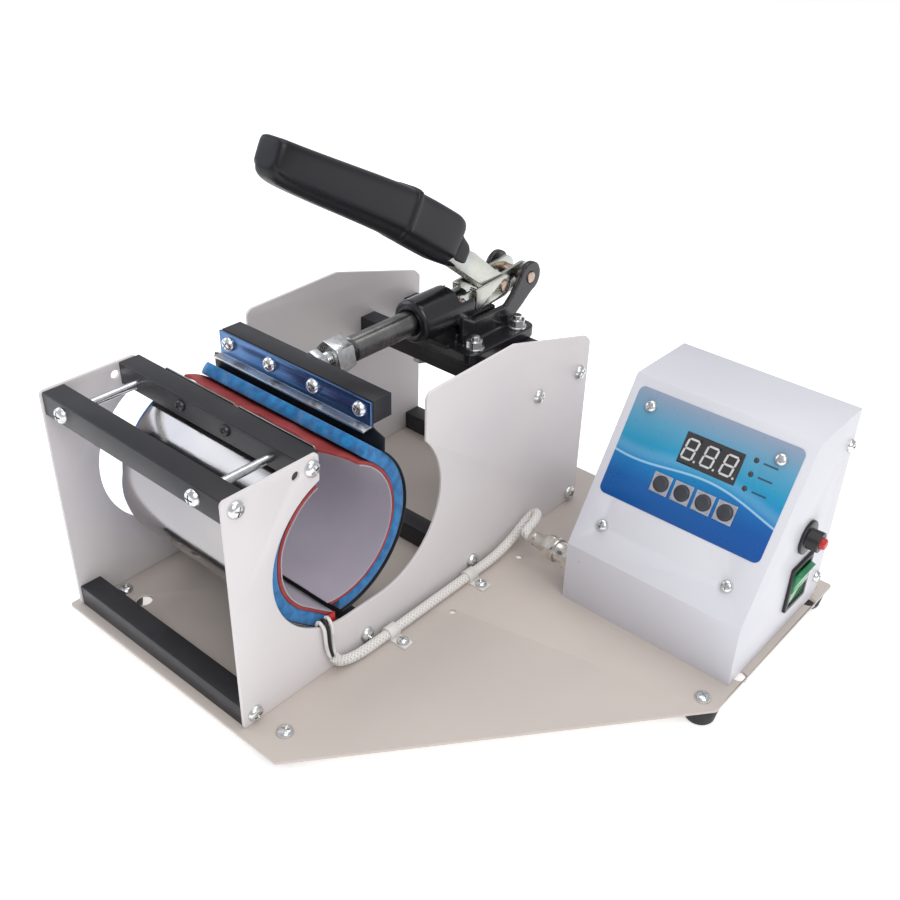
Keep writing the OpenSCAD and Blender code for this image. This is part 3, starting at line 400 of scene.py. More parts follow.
class Tree:
    """A Geometry Nodes tree with named inputs; add() gives a node's outputs by name."""

    def __init__(self, name, **inputs):
        self.group = bpy.data.node_groups.new(name, "GeometryNodeTree")
        interface = self.group.interface
        interface.new_socket("Geometry", in_out="INPUT", socket_type="NodeSocketGeometry")
        self.sockets = {}
        for label, value in inputs.items():
            kind = {int: "Int", float: "Float"}.get(type(value), "Material")
            made = interface.new_socket(label, in_out="INPUT", socket_type="NodeSocket" + kind)
            self.sockets[label] = made.identifier
            if kind != "Material":
                made.default_value = value
        interface.new_socket("Geometry", in_out="OUTPUT", socket_type="NodeSocketGeometry")
        self.into = self.group.nodes.new("NodeGroupInput").outputs
        self.out = self.group.nodes.new("NodeGroupOutput").inputs[0]

    def add(self, kind, inputs=None, **settings):
        node = self.group.nodes.new(kind)
        for label, value in settings.items():
            setattr(node, label, value)
        for label, value in (inputs or {}).items():
            if isinstance(value, bpy.types.NodeSocket):
                self.group.links.new(value, node.inputs[label])
            else:
                node.inputs[label].default_value = value
        return node.outputs

    def math(self, operation, a, b=0.0):
        return self.add("ShaderNodeMath", {0: a, 1: b}, operation=operation)[0]

    def finish(self, geometry, material):
        real = self.add("GeometryNodeRealizeInstances", {"Geometry": geometry})[0]
        painted = self.add("GeometryNodeSetMaterial", {"Geometry": real, "Material": material})[0]
        self.group.links.new(painted, self.out)

    def grow(self, name, points, directions, **values):
        """The tree's result on those points, as a plain mesh at the origin."""
        mesh = bpy.data.meshes.new(name)
        mesh.from_pydata([tuple(p) for p in points], [], [])
        aim = mesh.attributes.new("aim", "FLOAT_VECTOR", "POINT")
        aim.data.foreach_set("vector", [c for d in directions for c in d])
        made = link(mesh)
        run = made.modifiers.new("grow", "NODES")
        run.node_group = self.group
        for label, value in values.items():
            run[self.sockets[label]] = value
        made.update_tag()
        result = bpy.data.meshes.new_from_object(made.evaluated_get(bpy.context.evaluated_depsgraph_get()))
        made.modifiers.clear()
        made.data = result
        result.name = name
        finish = values["Finish"]
        result.materials.clear()
        result.materials.append(finish)
        result.polygons.foreach_set("material_index", [0] * len(result.polygons))
        return made


def pan_head_tree():
    tree = Tree("pan_head_screws", Radius=0.005, Height=0.003, Shank=0.0025, Length=0.004, Seed=1, Finish=None)
    radius, height = tree.into["Radius"], tree.into["Height"]
    disc = tree.add("GeometryNodeMeshCylinder", {"Vertices": 28, "Side Segments": 1, "Fill Segments": 6,
                                                 "Radius": radius, "Depth": 0.002})["Mesh"]
    place = tree.add("GeometryNodeInputPosition")[0]
    apart = tree.add("ShaderNodeSeparateXYZ", {0: place})
    flat = tree.add("ShaderNodeCombineXYZ", {0: apart[0], 1: apart[1]})[0]
    out = tree.math("DIVIDE", tree.add("ShaderNodeVectorMath", {0: flat}, operation="LENGTH")[1], radius)
    fall = tree.math("SUBTRACT", 1.0, tree.math("POWER", out, 3.2))
    dome = tree.math("POWER", tree.math("MAXIMUM", fall, 0.0), 0.55)
    top = tree.math("GREATER_THAN", apart[2], 0.0)
    rise = tree.math("MULTIPLY", tree.math("MULTIPLY", dome, height), top)
    lip = tree.math("MULTIPLY", tree.math("ADD", 0.0, top), tree.math("MULTIPLY", height, 0.14))
    up = tree.add("ShaderNodeCombineXYZ", {0: apart[0], 1: apart[1], 2: tree.math("ADD", rise, lip)})[0]
    head = tree.add("GeometryNodeSetPosition", {"Geometry": disc, "Position": up})[0]
    pressed = tree.add("GeometryNodeMeshBoolean", {"Mesh 1": head}, operation="DIFFERENCE", solver="EXACT")[0]
    for turn in (0.0, math.pi / 2):
        slot = tree.add("GeometryNodeMeshCube", {"Size": (1.12, 0.19, 1.0)})["Mesh"]
        wide = tree.add("ShaderNodeCombineXYZ", {0: radius, 1: radius, 2: height})[0]
        low = tree.add("ShaderNodeCombineXYZ", {2: tree.math("MULTIPLY", height, 0.97)})[0]
        sized = tree.add("GeometryNodeTransform", {"Geometry": slot, "Translation": low, "Scale": wide})[0]
        spun = tree.add("GeometryNodeTransform", {"Geometry": sized, "Rotation": (0, 0, turn)})[0]
        tree.group.links.new(spun, pressed.node.inputs["Mesh 2"])
    length = tree.into["Length"]
    shank = tree.add("GeometryNodeMeshCylinder", {"Vertices": 20, "Radius": tree.into["Shank"],
                                                  "Depth": length})["Mesh"]
    drop = tree.add("ShaderNodeCombineXYZ", {2: tree.math("MULTIPLY", length, -0.5)})[0]
    shank = tree.add("GeometryNodeTransform", {"Geometry": shank, "Translation": drop})[0]
    whole = tree.add("GeometryNodeJoinGeometry")
    for part in (pressed, shank):
        tree.group.links.new(part, whole[0].node.inputs[0])
    aim = tree.add("GeometryNodeInputNamedAttribute", {"Name": "aim"}, data_type="FLOAT_VECTOR")["Attribute"]
    turn = tree.add("FunctionNodeAlignRotationToVector", {"Vector": aim}, axis="Z")[0]
    chance = tree.add("FunctionNodeRandomValue", {"Max": math.pi, "Seed": tree.into["Seed"]}, data_type="FLOAT")
    spin = tree.add("ShaderNodeCombineXYZ", {2: [o for o in chance if o.enabled][0]})[0]
    placed = tree.add("GeometryNodeInstanceOnPoints", {"Points": tree.into["Geometry"], "Instance": whole[0],
                                                       "Rotation": turn})[0]
    placed = tree.add("GeometryNodeRotateInstances", {"Instances": placed, "Rotation": spin,
                                                      "Local Space": True})[0]
    tree.finish(placed, tree.into["Finish"])
    return tree


pan_heads = pan_head_tree()


def screws(name, body, slot, node, places, direction, paint, radius, height, shank, length, seed):
    one_way = isinstance(direction[0], (int, float))
    made = pan_heads.grow(name, places, [direction] * len(places) if one_way else direction,
                          Radius=radius / 1000, Height=height / 1000, Shank=shank / 1000, Length=length / 1000,
                          Seed=seed, Finish=paint.material)
    made.data.shade_smooth()
    made.data.set_sharp_from_angle(angle=math.radians(32))
    return stands_for(made, body, slot, *([node] if node else []))


both = [(s, y, z) for s in (-1, 1) for y, z in PLATE_SCREWS]
screws("plate_screw_heads", "press", "nickel", "plate_screws",
       [press(s * FRAME_HALF, y, z) for s, y, z in both], [(s, 0, 0) for s, y, z in both], zinc,
       5, 3, 2.5, 13, 3)
screws("foot_screw_heads", "press", "nickel", "foot_screws", [press(x, y, 0) for x, y in FEET], (0, 0, 1), zinc,
       5, 2.6, 2.5, 12, 4)
screws("jack_screw_rods", "press", "nickel", "jack_screws", [press(x, 1, BAR_TOP) for x in JACKS],
       (0, -1, 0), zinc,
       5, 3, 2.5, 52, 5)
screws("band_screw_heads", "press", "black_paint", "band_screws", [press(x, 50, BAR_TOP + 1) for x in BANDS],
       (0, -1, 0), black_zinc, 3.5, 2.2, 2.0, 15.5, 6)

# ---- Feet ----
# Five moulded rubber feet, tapered, each hollow below for its nut.
rubber = Paint("black_rubber", Base_Color=(0.018, 0.018, 0.019), Specular_IOR_Level=0.35)
rubber.set(Roughness=rubber.noise(400.0, 3.0) * 0.2 + 0.55)
rubber.bump(rubber.noise(1800.0, 3.0), 0.00008, 0.6)


def turned(name, profile, at, towards, paint, segments=40):
    """A turned piece: (radius, height) points in mm spun round a line from a place in the frame."""
    work = bmesh.new()
    turn = Vector(towards).to_track_quat("Z", "Y").to_matrix()
    rings = []
    for r, h in profile:
        if r <= 1e-6:
            rings.append([work.verts.new(Vector(at) + turn @ Vector((0, 0, h / 1000)))])
            continue
        rings.append([work.verts.new(Vector(at) + turn @ Vector((
            r / 1000 * math.cos(2 * math.pi * k / segments), r / 1000 * math.sin(2 * math.pi * k / segments),
            h / 1000))) for k in range(segments)])
    for a, b in zip(rings, rings[1:]):
        for k in range(segments):
            n = (k + 1) % segments
            corners = [a[k % len(a)], a[n % len(a)], b[n % len(b)], b[k % len(b)]]
            face = [v for i, v in enumerate(corners) if v not in corners[:i]]
            if len(face) > 2:
                work.faces.new(face)
    return tidy_mesh(name, drawn(name, work), paint)


foot_profile = [(2.6, -2), (10.0, -2), (10.5, -2.5), (10.35, -4), (8.9, -12.6), (8.3, -13.4), (6.0, -13.5),
                (5.5, -13.2), (5.4, -8), (2.6, -8), (2.6, -2)]
for number, (x, y) in enumerate(FEET):
    stands_for(turned(f"foot_{number + 1}", foot_profile, press(x, y, 0), (0, 0, 1), rubber), "press",
               "black_rubber", "rubber_feet")

# ---- Layers of the wrap ----
# The heated pad is four layers laid round the mug: a thin lilac release cloth, a brick red
# silicone heater mat, blue sponge cut with a blade, and an outer metal skin. The front half is
# fixed to the second bar and ends in a straight tail; the rear half hangs from the clamp bar.
MUG_Y, MUG_Z = 79.5, 84.0
LINER_R, HEATER_R, SPONGE_R, BAND_R, OUTER_R = 42.0, 42.8, 44.8, 52.8, 53.6
TAIL_ANGLE, FLAP_ANGLE = 230.0, 48.0


def on_circle(angle, radius):
    """A place on the mug's circle and the way out from it; 0 is the rear, 90 the top."""
    a = math.radians(angle)
    out = Vector((math.cos(a), math.sin(a)))
    return Vector((MUG_Y, MUG_Z)) + out * radius, out


def along_arc(start, end, radius, tail=0.0, lead=0.0):
    """Places and outward ways along an arc, with a straight lead before it and a straight tail after it."""
    made = []
    first, out = on_circle(start, radius)
    ahead = Vector((-out.y, out.x)) * (1 if end > start else -1)
    steps = max(2, int(lead / 1.5))
    made += [(first - ahead * lead * (1 - i / steps), out) for i in range(steps) if lead > 0]
    steps = int(abs(end - start) / 1.5)
    made += [on_circle(start + (end - start) * i / steps, radius) for i in range(steps + 1)]
    last, out = on_circle(end, radius)
    ahead = Vector((-out.y, out.x)) * (1 if end > start else -1)
    steps = max(2, int(tail / 1.5))
    made += [(last + ahead * tail * (i + 1) / steps, out) for i in range(steps) if tail > 0]
    return made


def layer(name, path, inner, outer, ends, paint, lip=0.8, columns=76, waver=None, trim=None):
    """A soft sheet bent along a path. inner and outer are offsets from it, ends gives the low and high x
    at a share of the path, trim the shares where the path starts and stops at an x, waver pushes its faces."""
    count = len(path)

    def spot(share):
        at = min(max(share, 0.0), 1.0) * (count - 1)
        i = min(int(at), count - 2)
        return path[i][0].lerp(path[i + 1][0], at - i), path[i][1].lerp(path[i + 1][1], at - i).normalized()

    length = sum((b[0] - a[0]).length for a, b in zip(path, path[1:]))
    edge = [0.0, 0.12, 0.35, 0.7, 1.0]
    rows = max(24, int(length / 1.6))
    lanes = [e * lip for e in edge]

    def spread(low, high, steps, lips):
        inside = [low + lips[-1] + (high - low - 2 * lips[-1]) * i / steps for i in range(1, steps)]
        return [low + e for e in lips] + inside + [high - e for e in reversed(lips)]

    thick = outer - inner
    fall = [max(0.02, math.sqrt(max(0.0, 1 - (1 - e) ** 2))) for e in edge]
    us = spread(0.0, length, rows, lanes)
    grid_low, grid_high = [], []
    for iu, u in enumerate(us):
        row_low, row_high = [], []
        for iv in range(columns + 2 * len(edge) - 1):
            low_x, high_x = ends(u / length)
            if iv < len(edge):
                xs, slim_v = low_x + lanes[iv], fall[iv]
            elif iv >= columns + len(edge) - 1:
                k = columns + 2 * len(edge) - 2 - iv
                xs, slim_v = high_x - lanes[k], fall[k]
            else:
                part = (iv - len(edge) + 1) / columns
                xs, slim_v = low_x + lip + (high_x - low_x - 2 * lip) * part, 1.0
            k = min(iu, len(us) - 1 - iu)
            slim_u = fall[k] if k < len(edge) else 1.0
            start, stop = trim(xs) if trim else (0.0, 1.0)
            share = start + (stop - start) * (u / length)
            point, out = spot(share)
            slim = min(slim_u, slim_v)
            push = waver(xs, share * length) if waver else 0.0
            middle, half = (inner + outer) / 2, thick / 2 * slim
            for row, offset in ((row_low, middle - half + push), (row_high, middle + half + push)):
                place = point + out * offset
                row.append(press(xs, place.x, place.y))
        grid_low.append(row_low)
        grid_high.append(row_high)
    wide = len(grid_low[0])
    points = [p for row in grid_low for p in row] + [p for row in grid_high for p in row]
    half_count = len(us) * wide
    faces = []
    for i in range(len(us) - 1):
        for j in range(wide - 1):
            a = i * wide + j
            faces.append((a, a + 1, a + wide + 1, a + wide))
            faces.append(tuple(half_count + k for k in (a + wide, a + wide + 1, a + 1, a)))
    rim = [j for j in range(wide)] + [i * wide + wide - 1 for i in range(1, len(us))]
    rim += [(len(us) - 1) * wide + j for j in range(wide - 2, -1, -1)]
    rim += [i * wide for i in range(len(us) - 2, 0, -1)]
    for a, b in zip(rim, rim[1:] + rim[:1]):
        faces.append((b, a, half_count + a, half_count + b))
    mesh = bpy.data.meshes.new(name)
    mesh.from_pydata([tuple(p) for p in points], [], faces)
    made = tidy_mesh(name, mesh, paint, True, 1e-7)
    made.data.set_sharp_from_angle(angle=math.radians(70))
    return made


def ripple(*waves):
    """A sum of slow waves: (height, length, start) in mm and degrees."""
    return lambda at: sum(height * math.sin(2 * math.pi * at / long + math.radians(start))
                          for height, long, start in waves)


def rough(seed, height, scale):
    """Uneven cutting, the same on each run."""
    return lambda at: height * noise.noise(Vector((at / scale, seed * 7.31, 0.5)))


sponge_paint = Paint("blue_sponge", Specular_IOR_Level=0.15, Sheen_Weight=0.25, Sheen_Roughness=0.6)
sponge_paint.mottle((180.0, 5.0), (0.3, 0.75), (0.004, 0.105, 0.30), (0.012, 0.215, 0.50),
                    (600.0,), 0.15, 0.72)
sponge_paint.bump(sponge_paint.cells(1500.0) * 0.6 + sponge_paint.noise(900.0, 4.0), 0.00035, 0.8)

heater_paint = Paint("red_silicone", Specular_IOR_Level=0.3)
heater_paint.mottle((70.0, 4.0), (0.3, 0.75), (0.27, 0.035, 0.032), (0.37, 0.06, 0.055),
                    (300.0,), 0.18, 0.5)


def weave(paint, turn, pitch, place=None):
    """The height of a plain weave over a surface that is flat or bent along one line."""
    spun = paint.add("Mapping", {"Vector": place or paint.place, "Rotation": turn})
    axes = paint.add("SeparateXYZ", [spun])
    a = Value(paint, axes.socket.node.outputs[0]) * (2 * math.pi / pitch)
    b = Value(paint, axes.socket.node.outputs[2]) * (2 * math.pi / pitch)
    return a.sine() * b.sine()


heater_paint.bump(weave(heater_paint, (0, 0, 0), 0.0011) * 0.5 + heater_paint.noise(400.0, 3.0), 0.00012, 0.5)

liner_paint = Paint("release_cloth", Specular_IOR_Level=0.4, Sheen_Weight=0.2, Sheen_Roughness=0.4)
liner_tone = liner_paint.noise(16.0, 5.0).smooth(0.25, 0.8)
liner_paint.set(
    Base_Color=liner_paint.mix(liner_tone, (0.36, 0.325, 0.39), (0.46, 0.425, 0.475)),
    Roughness=liner_paint.noise(60.0) * 0.14 + 0.40)
liner_paint.bump(weave(liner_paint, (0, 0, 0), 0.0008) * 0.35 + liner_paint.noise(45.0, 4.0) * 1.2
                 + liner_paint.noise(1200.0) * 0.2, 0.00022, 0.6)

LEAF_Y = 64.05
LEAF_ANGLE = math.degrees(math.acos((LEAF_Y - MUG_Y) / OUTER_R))
FRONT_X0, FRONT_X1 = -54.0, 73.0

# the front half: sponge, heater and cloth on an arc from under the second bar to a straight tail
cut = rough(1, 1.2, 14)
front_ends = lambda at: (lambda share: (FRONT_X0 + cut(share * 190 + at),
                                        FRONT_X1 - 0.3 + cut(share * 150 + at + 9) * 0.35))
for name, low, high, start, tail, node, slot, paint, lip in (
        ("front_sponge_layer", SPONGE_R + 0.05, BAND_R - 0.05, 3.4, 27, "front_sponge", "blue_sponge",
         sponge_paint, 1.0),
        ("front_heater_layer", HEATER_R + 0.05, SPONGE_R - 0.05, 3.2, 28, "front_heater", "red_silicone",
         heater_paint, 0.45),
        ("front_liner_cloth", LINER_R, HEATER_R - 0.05, 3, 26, "front_liner", "liner_cloth", liner_paint, 0.2)):
    route = along_arc(LEAF_ANGLE + start, TAIL_ANGLE, 0.0001 + LINER_R, tail)
    made = layer(name, route, low - LINER_R, high - LINER_R, front_ends(low), paint, lip, 60)
    stands_for(made, "press", slot, node)
    if node == "front_sponge":
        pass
    elif node == "front_liner":
        flat = sum((b[0] - a[0]).length for a, b in zip(route, route[1:]))

# the rear half: the sponge runs up to the bracket on a flat flap, and is cut with a slanted corner
REAR_X = 72.0
crease = lambda x, at: 0.35 * math.exp(-((at - 30 - x * 0.12) / 2.2) ** 2)
rear_low_angle = {inner: -130 + math.degrees(math.acos(38.2 / middle))
                  for inner, middle in ((SPONGE_R, 48.8), (HEATER_R, 43.8), (LINER_R, 42.4))}


def rear_span(path_length, top_wave, low_wave):
    return lambda x: (max(0.0, (top_wave(x)) / path_length), 1.0 - max(0.0, low_wave(x)) / path_length)


sponge_wave = ripple((0.9, 61, 40), (0.5, 23, 200))
sponge_rough = rough(3, 1.5, 9)
sponge_top = lambda x: 1.0 + sponge_wave(x) + sponge_rough(x) + max(0.0, (-REAR_X + 9 - x) * 0.55)
path = along_arc(FLAP_ANGLE, rear_low_angle[SPONGE_R], LINER_R, 0.0, 17.0)
length = sum((b[0] - a[0]).length for a, b in zip(path, path[1:]))
rear_sponge = layer("rear_sponge_layer", path, SPONGE_R + 0.05 - LINER_R, BAND_R - 0.05 - LINER_R,
                    lambda share: (-REAR_X + 0.3, REAR_X - 0.2), sponge_paint, 1.1, 90,
                    trim=rear_span(length, sponge_top, rough(4, 0.6, 7)))
stands_for(rear_sponge, "jaw", "blue_sponge", "rear_sponge")

heater_wave, heater_rough = ripple((1.6, 74, 10), (0.9, 31, 130)), rough(5, 1.6, 8)
path = along_arc(81, rear_low_angle[HEATER_R], LINER_R)
length = sum((b[0] - a[0]).length for a, b in zip(path, path[1:]))
heater_top = lambda x: max(0.0, 2.6 + heater_wave(x) + heater_rough(x) + max(0.0, (x - 48) * 0.32))
rear_heater = layer("rear_heater_layer", path, HEATER_R + 0.05 - LINER_R, SPONGE_R - 0.05 - LINER_R,
                    lambda share: (-REAR_X + 0.5, REAR_X - 0.4), heater_paint, 0.5, 100,
                    trim=rear_span(length, heater_top, rough(6, 0.5, 6)))
stands_for(rear_heater, "jaw", "red_silicone", "rear_heater")

path = along_arc(80, rear_low_angle[LINER_R], LINER_R)
length = sum((b[0] - a[0]).length for a, b in zip(path, path[1:]))
rear_liner = layer("rear_liner_cloth", path, 0.0, HEATER_R - 0.05 - LINER_R,
                   lambda share: (-REAR_X + 0.5, REAR_X - 0.5), liner_paint, 0.2, 90,
                   trim=rear_span(length, lambda x: max(0.0, 4.0 + heater_wave(x) + heater_rough(x) * 0.8
                                                        + max(0.0, (x - 48) * 0.32)), rough(7, 0.4, 6)),
                   waver=lambda x, at: (-0.25 * abs(noise.noise(Vector((x / 40, at / 22, 3.0))))
                                        - 0.3 * crease(x, at)))
stands_for(rear_liner, "jaw", "liner_cloth", "rear_liner")

# ---- Skins of the wrap ----
# The front band is a thin polished stainless sheet, screwed to the second bar and rolled round the
# sponge. The rear skin is black sheet that runs up behind the bracket.
mirror = Paint("polished_stainless", Metallic=1.0)
# The darkened brown-grey tone, in two patchy shades, is painted reflection of the surroundings on the polished
# steel.
mirror.mottle((12.0, 3.0), (0.3, 0.7), (0.44, 0.42, 0.40), (0.34, 0.33, 0.34), (70.0, 4.0), 0.10, 0.07)
grain = mirror.add("TexNoise", {"Vector": mirror.stretched(1, 60, 60), "Scale": 60.0})
mirror.bump(mirror.noise(24.0, 2.0) + grain * 0.08,
            0.0006, 0.25)

band_path = along_arc(LEAF_ANGLE, TAIL_ANGLE, LINER_R, 29.0)
corner, out = on_circle(LEAF_ANGLE, OUTER_R)
front_band = layer("front_band_sheet", band_path, BAND_R + 0.05 - LINER_R, OUTER_R - LINER_R,
                   lambda share: (FRONT_X0 + 3, FRONT_X1), mirror, 0.3, 40)
stands_for(front_band, "press", "mirror_steel", "front_band")
leaf_top = 150.2
leaf = sheet_part("front_band_leaf", rounded([
    (FRONT_X0 + 3, corner.y - 0.4, 0), (FRONT_X1, corner.y - 0.4, 0), (FRONT_X1, leaf_top, 2),
    (14, leaf_top, 0), (13, leaf_top - 0.9, 0), (10, leaf_top - 0.9, 0), (9, leaf_top, 0),
    (FRONT_X0 + 3, leaf_top, 2)]),
    [circle((x, BAR_TOP + 1), 2.1) for x in BANDS], 0.75,
    lambda u, v, h: press(u, LEAF_Y + 0.4 + h, v), mirror, 0.2)
stands_for(leaf, "press", "mirror_steel")

skin_paint = Paint("black_skin", Specular_IOR_Level=0.35)
skin_paint.mottle((60.0,), (0.3, 0.7), (0.010, 0.010, 0.012), (0.022, 0.022, 0.024), (200.0,), 0.15, 0.42)
skin_paint.bump(skin_paint.noise(700.0, 3.0), 0.00008, 0.5)
JAW_Y, JAW_Z = 115.7, 137.5
skin_path = []
low, out = on_circle(FLAP_ANGLE, OUTER_R - 0.4)
skin_path += [(Vector((JAW_Y - 0.4, JAW_Z + 13.6 - i * 14.6 / 10)), Vector((1, 0))) for i in range(11)]
kink = skin_path[-1][0]
lean = (low - kink).normalized()
skin_path += [(kink.lerp(low, (i + 1) / 10), Vector((-lean.y, lean.x)).normalized()) for i in range(9)]
steps = int((FLAP_ANGLE - rear_low_angle[SPONGE_R]) / 1.5)
skin_path += [on_circle(FLAP_ANGLE + (rear_low_angle[SPONGE_R] + 1.5 - FLAP_ANGLE) * i / steps, OUTER_R - 0.4)
              for i in range(steps + 1)]
JAW_HALF, SKIN_HALF, SHOULDER = 64.0, 72.9, 0.10


def skin_ends(share):
    """Trimmed to the bracket behind it, and full width below."""
    half = JAW_HALF + (SKIN_HALF - JAW_HALF) * min(1.0, max(0.0, (share - SHOULDER) / 0.012))
    return -half, half


rear_skin = layer("rear_skin_sheet", skin_path, -0.36, 0.36, skin_ends, skin_paint, 0.3, 40)
stands_for(rear_skin, "jaw", "black_sheet", "rear_sheet")
# ---- Clamp jaw ----
# The moving jaw: a black square bar with a polished stainless angle bracket screwed to its
# front, which traps the rear sheet. A threaded spindle and two nuts set how hard it presses.
def dressed(node, body, slot, paint, bevel=0.35, angle=28, name=None):
    """A CAD node's shape with its edges broken, as a piece that stands for the node."""
    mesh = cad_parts[node].data.copy()
    mesh.transform(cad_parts[node].matrix_world)
    work = bmesh.new()
    work.from_mesh(mesh)
    bmesh.ops.remove_doubles(work, verts=work.verts, dist=2e-6)
    bmesh.ops.dissolve_limit(work, angle_limit=math.radians(1), verts=work.verts, edges=work.edges)
    sharp = [e for e in work.edges if len(e.link_faces) == 2 and e.calc_face_angle(0) > math.radians(angle)]
    bmesh.ops.bevel(work, geom=sharp, offset=bevel / 1000, offset_type="OFFSET", segments=2, profile=0.5,
                    affect="EDGES", clamp_overlap=True)
    work.to_mesh(mesh)
    work.free()
    return stands_for(tidy_mesh(name or node + "_piece", mesh, paint), body, slot, node)


bracket_paint = Paint("bracket_mirror", Metallic=1.0)
# The bracket's colour is painted reflection: patchy deep blue on its face, and a pale cream-silver on the lower
# flange below it.
blue_reflection_patches = bracket_paint.noise(11.0, 1.5, place=bracket_paint.stretched(1.0, 1.0, 3.2)).smooth(0.42, 0.62)
height = Value(bracket_paint, bracket_paint.add("SeparateXYZ", [bracket_paint.place]).socket.node.outputs[2])
painted_blue_reflection = bracket_paint.mix(blue_reflection_patches, (0.02, 0.09, 0.24), (0.10, 0.20, 0.40))
bracket_paint.set(Base_Color=bracket_paint.mix(height.smooth(0.1498, 0.1503), (0.66, 0.64, 0.58), painted_blue_reflection),
                  Roughness=bracket_paint.noise(220.0, 3.0) * 0.10 + 0.24)
bracket_paint.bump(bracket_paint.noise(60.0, 2.0), 0.00006, 0.3)
dressed("bracket", "jaw", "mirror_steel", bracket_paint, 0.4)
dressed("clamp_bar", "jaw", "black_paint", bar_paint, 0.7)
BRACKET_XS = [(i - 1.5) * 128 * 0.29 for i in range(4)]
screws("bracket_screw_heads", "jaw", "nickel", "bracket_screws", [press(x, 113.35, 145) for x in BRACKET_XS],
       (0, -1, 0), zinc, 4.75, 2.8, 2.5, 9, 21)

AXIS_Z = 143.5
thread = [(0, 0), (4.3, 0), (5, 0.7)]
for turn in range(38):
    thread += [(5.0, 0.9 + 1.5 * turn), (4.35, 1.65 + 1.5 * turn), (5.0, 2.4 + 1.5 * turn)]
thread += [(5.0, 58.3), (0, 58.3)]
stands_for(turned("spindle_rod", thread, press(0, 121.7, AXIS_Z), (0, 1, 0), zinc, 32), "jaw", "zinc_steel",
           "spindle")
dressed("spindle_nuts", "jaw", "nickel", zinc, 0.6, name="spindle_hex_nuts")

# ---- Toggle clamp ----
# A push-pull toggle clamp: an enamelled iron casting on four bolts, a ground steel plunger, a
# pressed lever and its strap link on coppery rivets, all pulled over by the moulded grip.
turned_steel = Paint("turned_steel", Metallic=1.0)
rings = turned_steel.noise(900.0, 2.0, place=turned_steel.stretched(0.06, 1.0, 0.06))
turned_steel.set(Base_Color=turned_steel.mix(turned_steel.noise(70.0, 4.0).smooth(0.3, 0.7), (0.25, 0.245, 0.235),
                                             (0.15, 0.15, 0.15)), Roughness=rings * 0.2 + 0.2)
turned_steel.bump(rings, 0.00003, 0.5)
dressed("plunger", "jaw", "dark_steel", turned_steel, 0.5, name="plunger_rod")

lever_zinc = Paint("lever_zinc", Metallic=1.0)
passivated = lever_zinc.noise(45.0, 4.0).smooth(0.32, 0.72)
lever_zinc.set(Base_Color=lever_zinc.mix(passivated, (0.56, 0.56, 0.50), (0.46, 0.48, 0.47)),
               Roughness=lever_zinc.noise(240.0, 3.0) * 0.2 + 0.16)
lever_zinc.bump(lever_zinc.noise(420.0, 3.0), 0.00004, 0.5)
copper_rivet = Paint("copper_rivet", Metallic=1.0)
copper_rivet.mottle((260.0, 3.0), (0.3, 0.7), (0.55, 0.40, 0.31), (0.42, 0.34, 0.30),
                    (600.0, 3.0), 0.25, 0.2)
dressed("handle_lever", "handle", "zinc_steel", lever_zinc, 0.5, name="lever_pressing")
dressed("link_plates", "link", "zinc_steel", lever_zinc, 0.5, name="link_strap")
dressed("link_rivets", "link", "rivet_steel", copper_rivet, 0.6, name="link_rivet_heads")
dressed("plunger_pin", "jaw", "rivet_steel", copper_rivet, 0.5, name="plunger_cross_pin")
dressed("handle_pin", "press", "rivet_steel", copper_rivet, 0.5, name="lever_cross_pin")
dressed("clamp_bolts", "press", "nickel", zinc, 0.5, name="clamp_bolt_rods")
dressed("clamp_nuts", "press", "nickel", zinc, 0.5, name="clamp_flange_nuts")

enamel = Paint("black_enamel", Base_Color=(0.012, 0.012, 0.014), Specular_IOR_Level=0.55)
dip = enamel.noise(30.0, 4.0)
enamel.set(Roughness=dip * 0.2 + 0.14)
enamel.bump(dip + enamel.noise(260.0, 3.0) * 0.4, 0.00035, 0.5)


def cast(node, body, slot, paint, voxel, rounds, name):
    """A CAD node's shape as a casting: remeshed fine, then its edges softened."""
    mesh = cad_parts[node].data.copy()
    mesh.transform(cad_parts[node].matrix_world)
    made = link(mesh, name)
    remesh = made.modifiers.new("skin", "REMESH")
    remesh.mode, remesh.voxel_size = "VOXEL", voxel / 1000
    soften = made.modifiers.new("soften", "SMOOTH")
    soften.factor, soften.iterations = 0.5, rounds
    done = bpy.data.meshes.new_from_object(made.evaluated_get(bpy.context.evaluated_depsgraph_get()))
    made.modifiers.clear()
    made.data = done
    done.name = name
    done.materials.clear()
    done.materials.append(paint.material)
    done.shade_smooth()
    return stands_for(made, body, slot, node)


cast("clamp_body", "press", "black_casting", enamel, 0.85, 5, "clamp_casting")

# ---- Grip ----
# The lever's black grip is moulded in one piece: flat cheeks with a ridge along the lower edge,
# a step ring where it narrows, and a sleeve over the lever's neck.
moulding = Paint("black_moulding", Base_Color=(0.007, 0.0068, 0.009), Specular_IOR_Level=0.32)
moulding.set(Roughness=moulding.noise(35.0, 4.0) * 0.14 + 0.30)
moulding.bump(moulding.noise(24.0, 2.0) + moulding.noise(1500.0, 2.0) * 0.06, 0.0004, 0.25)
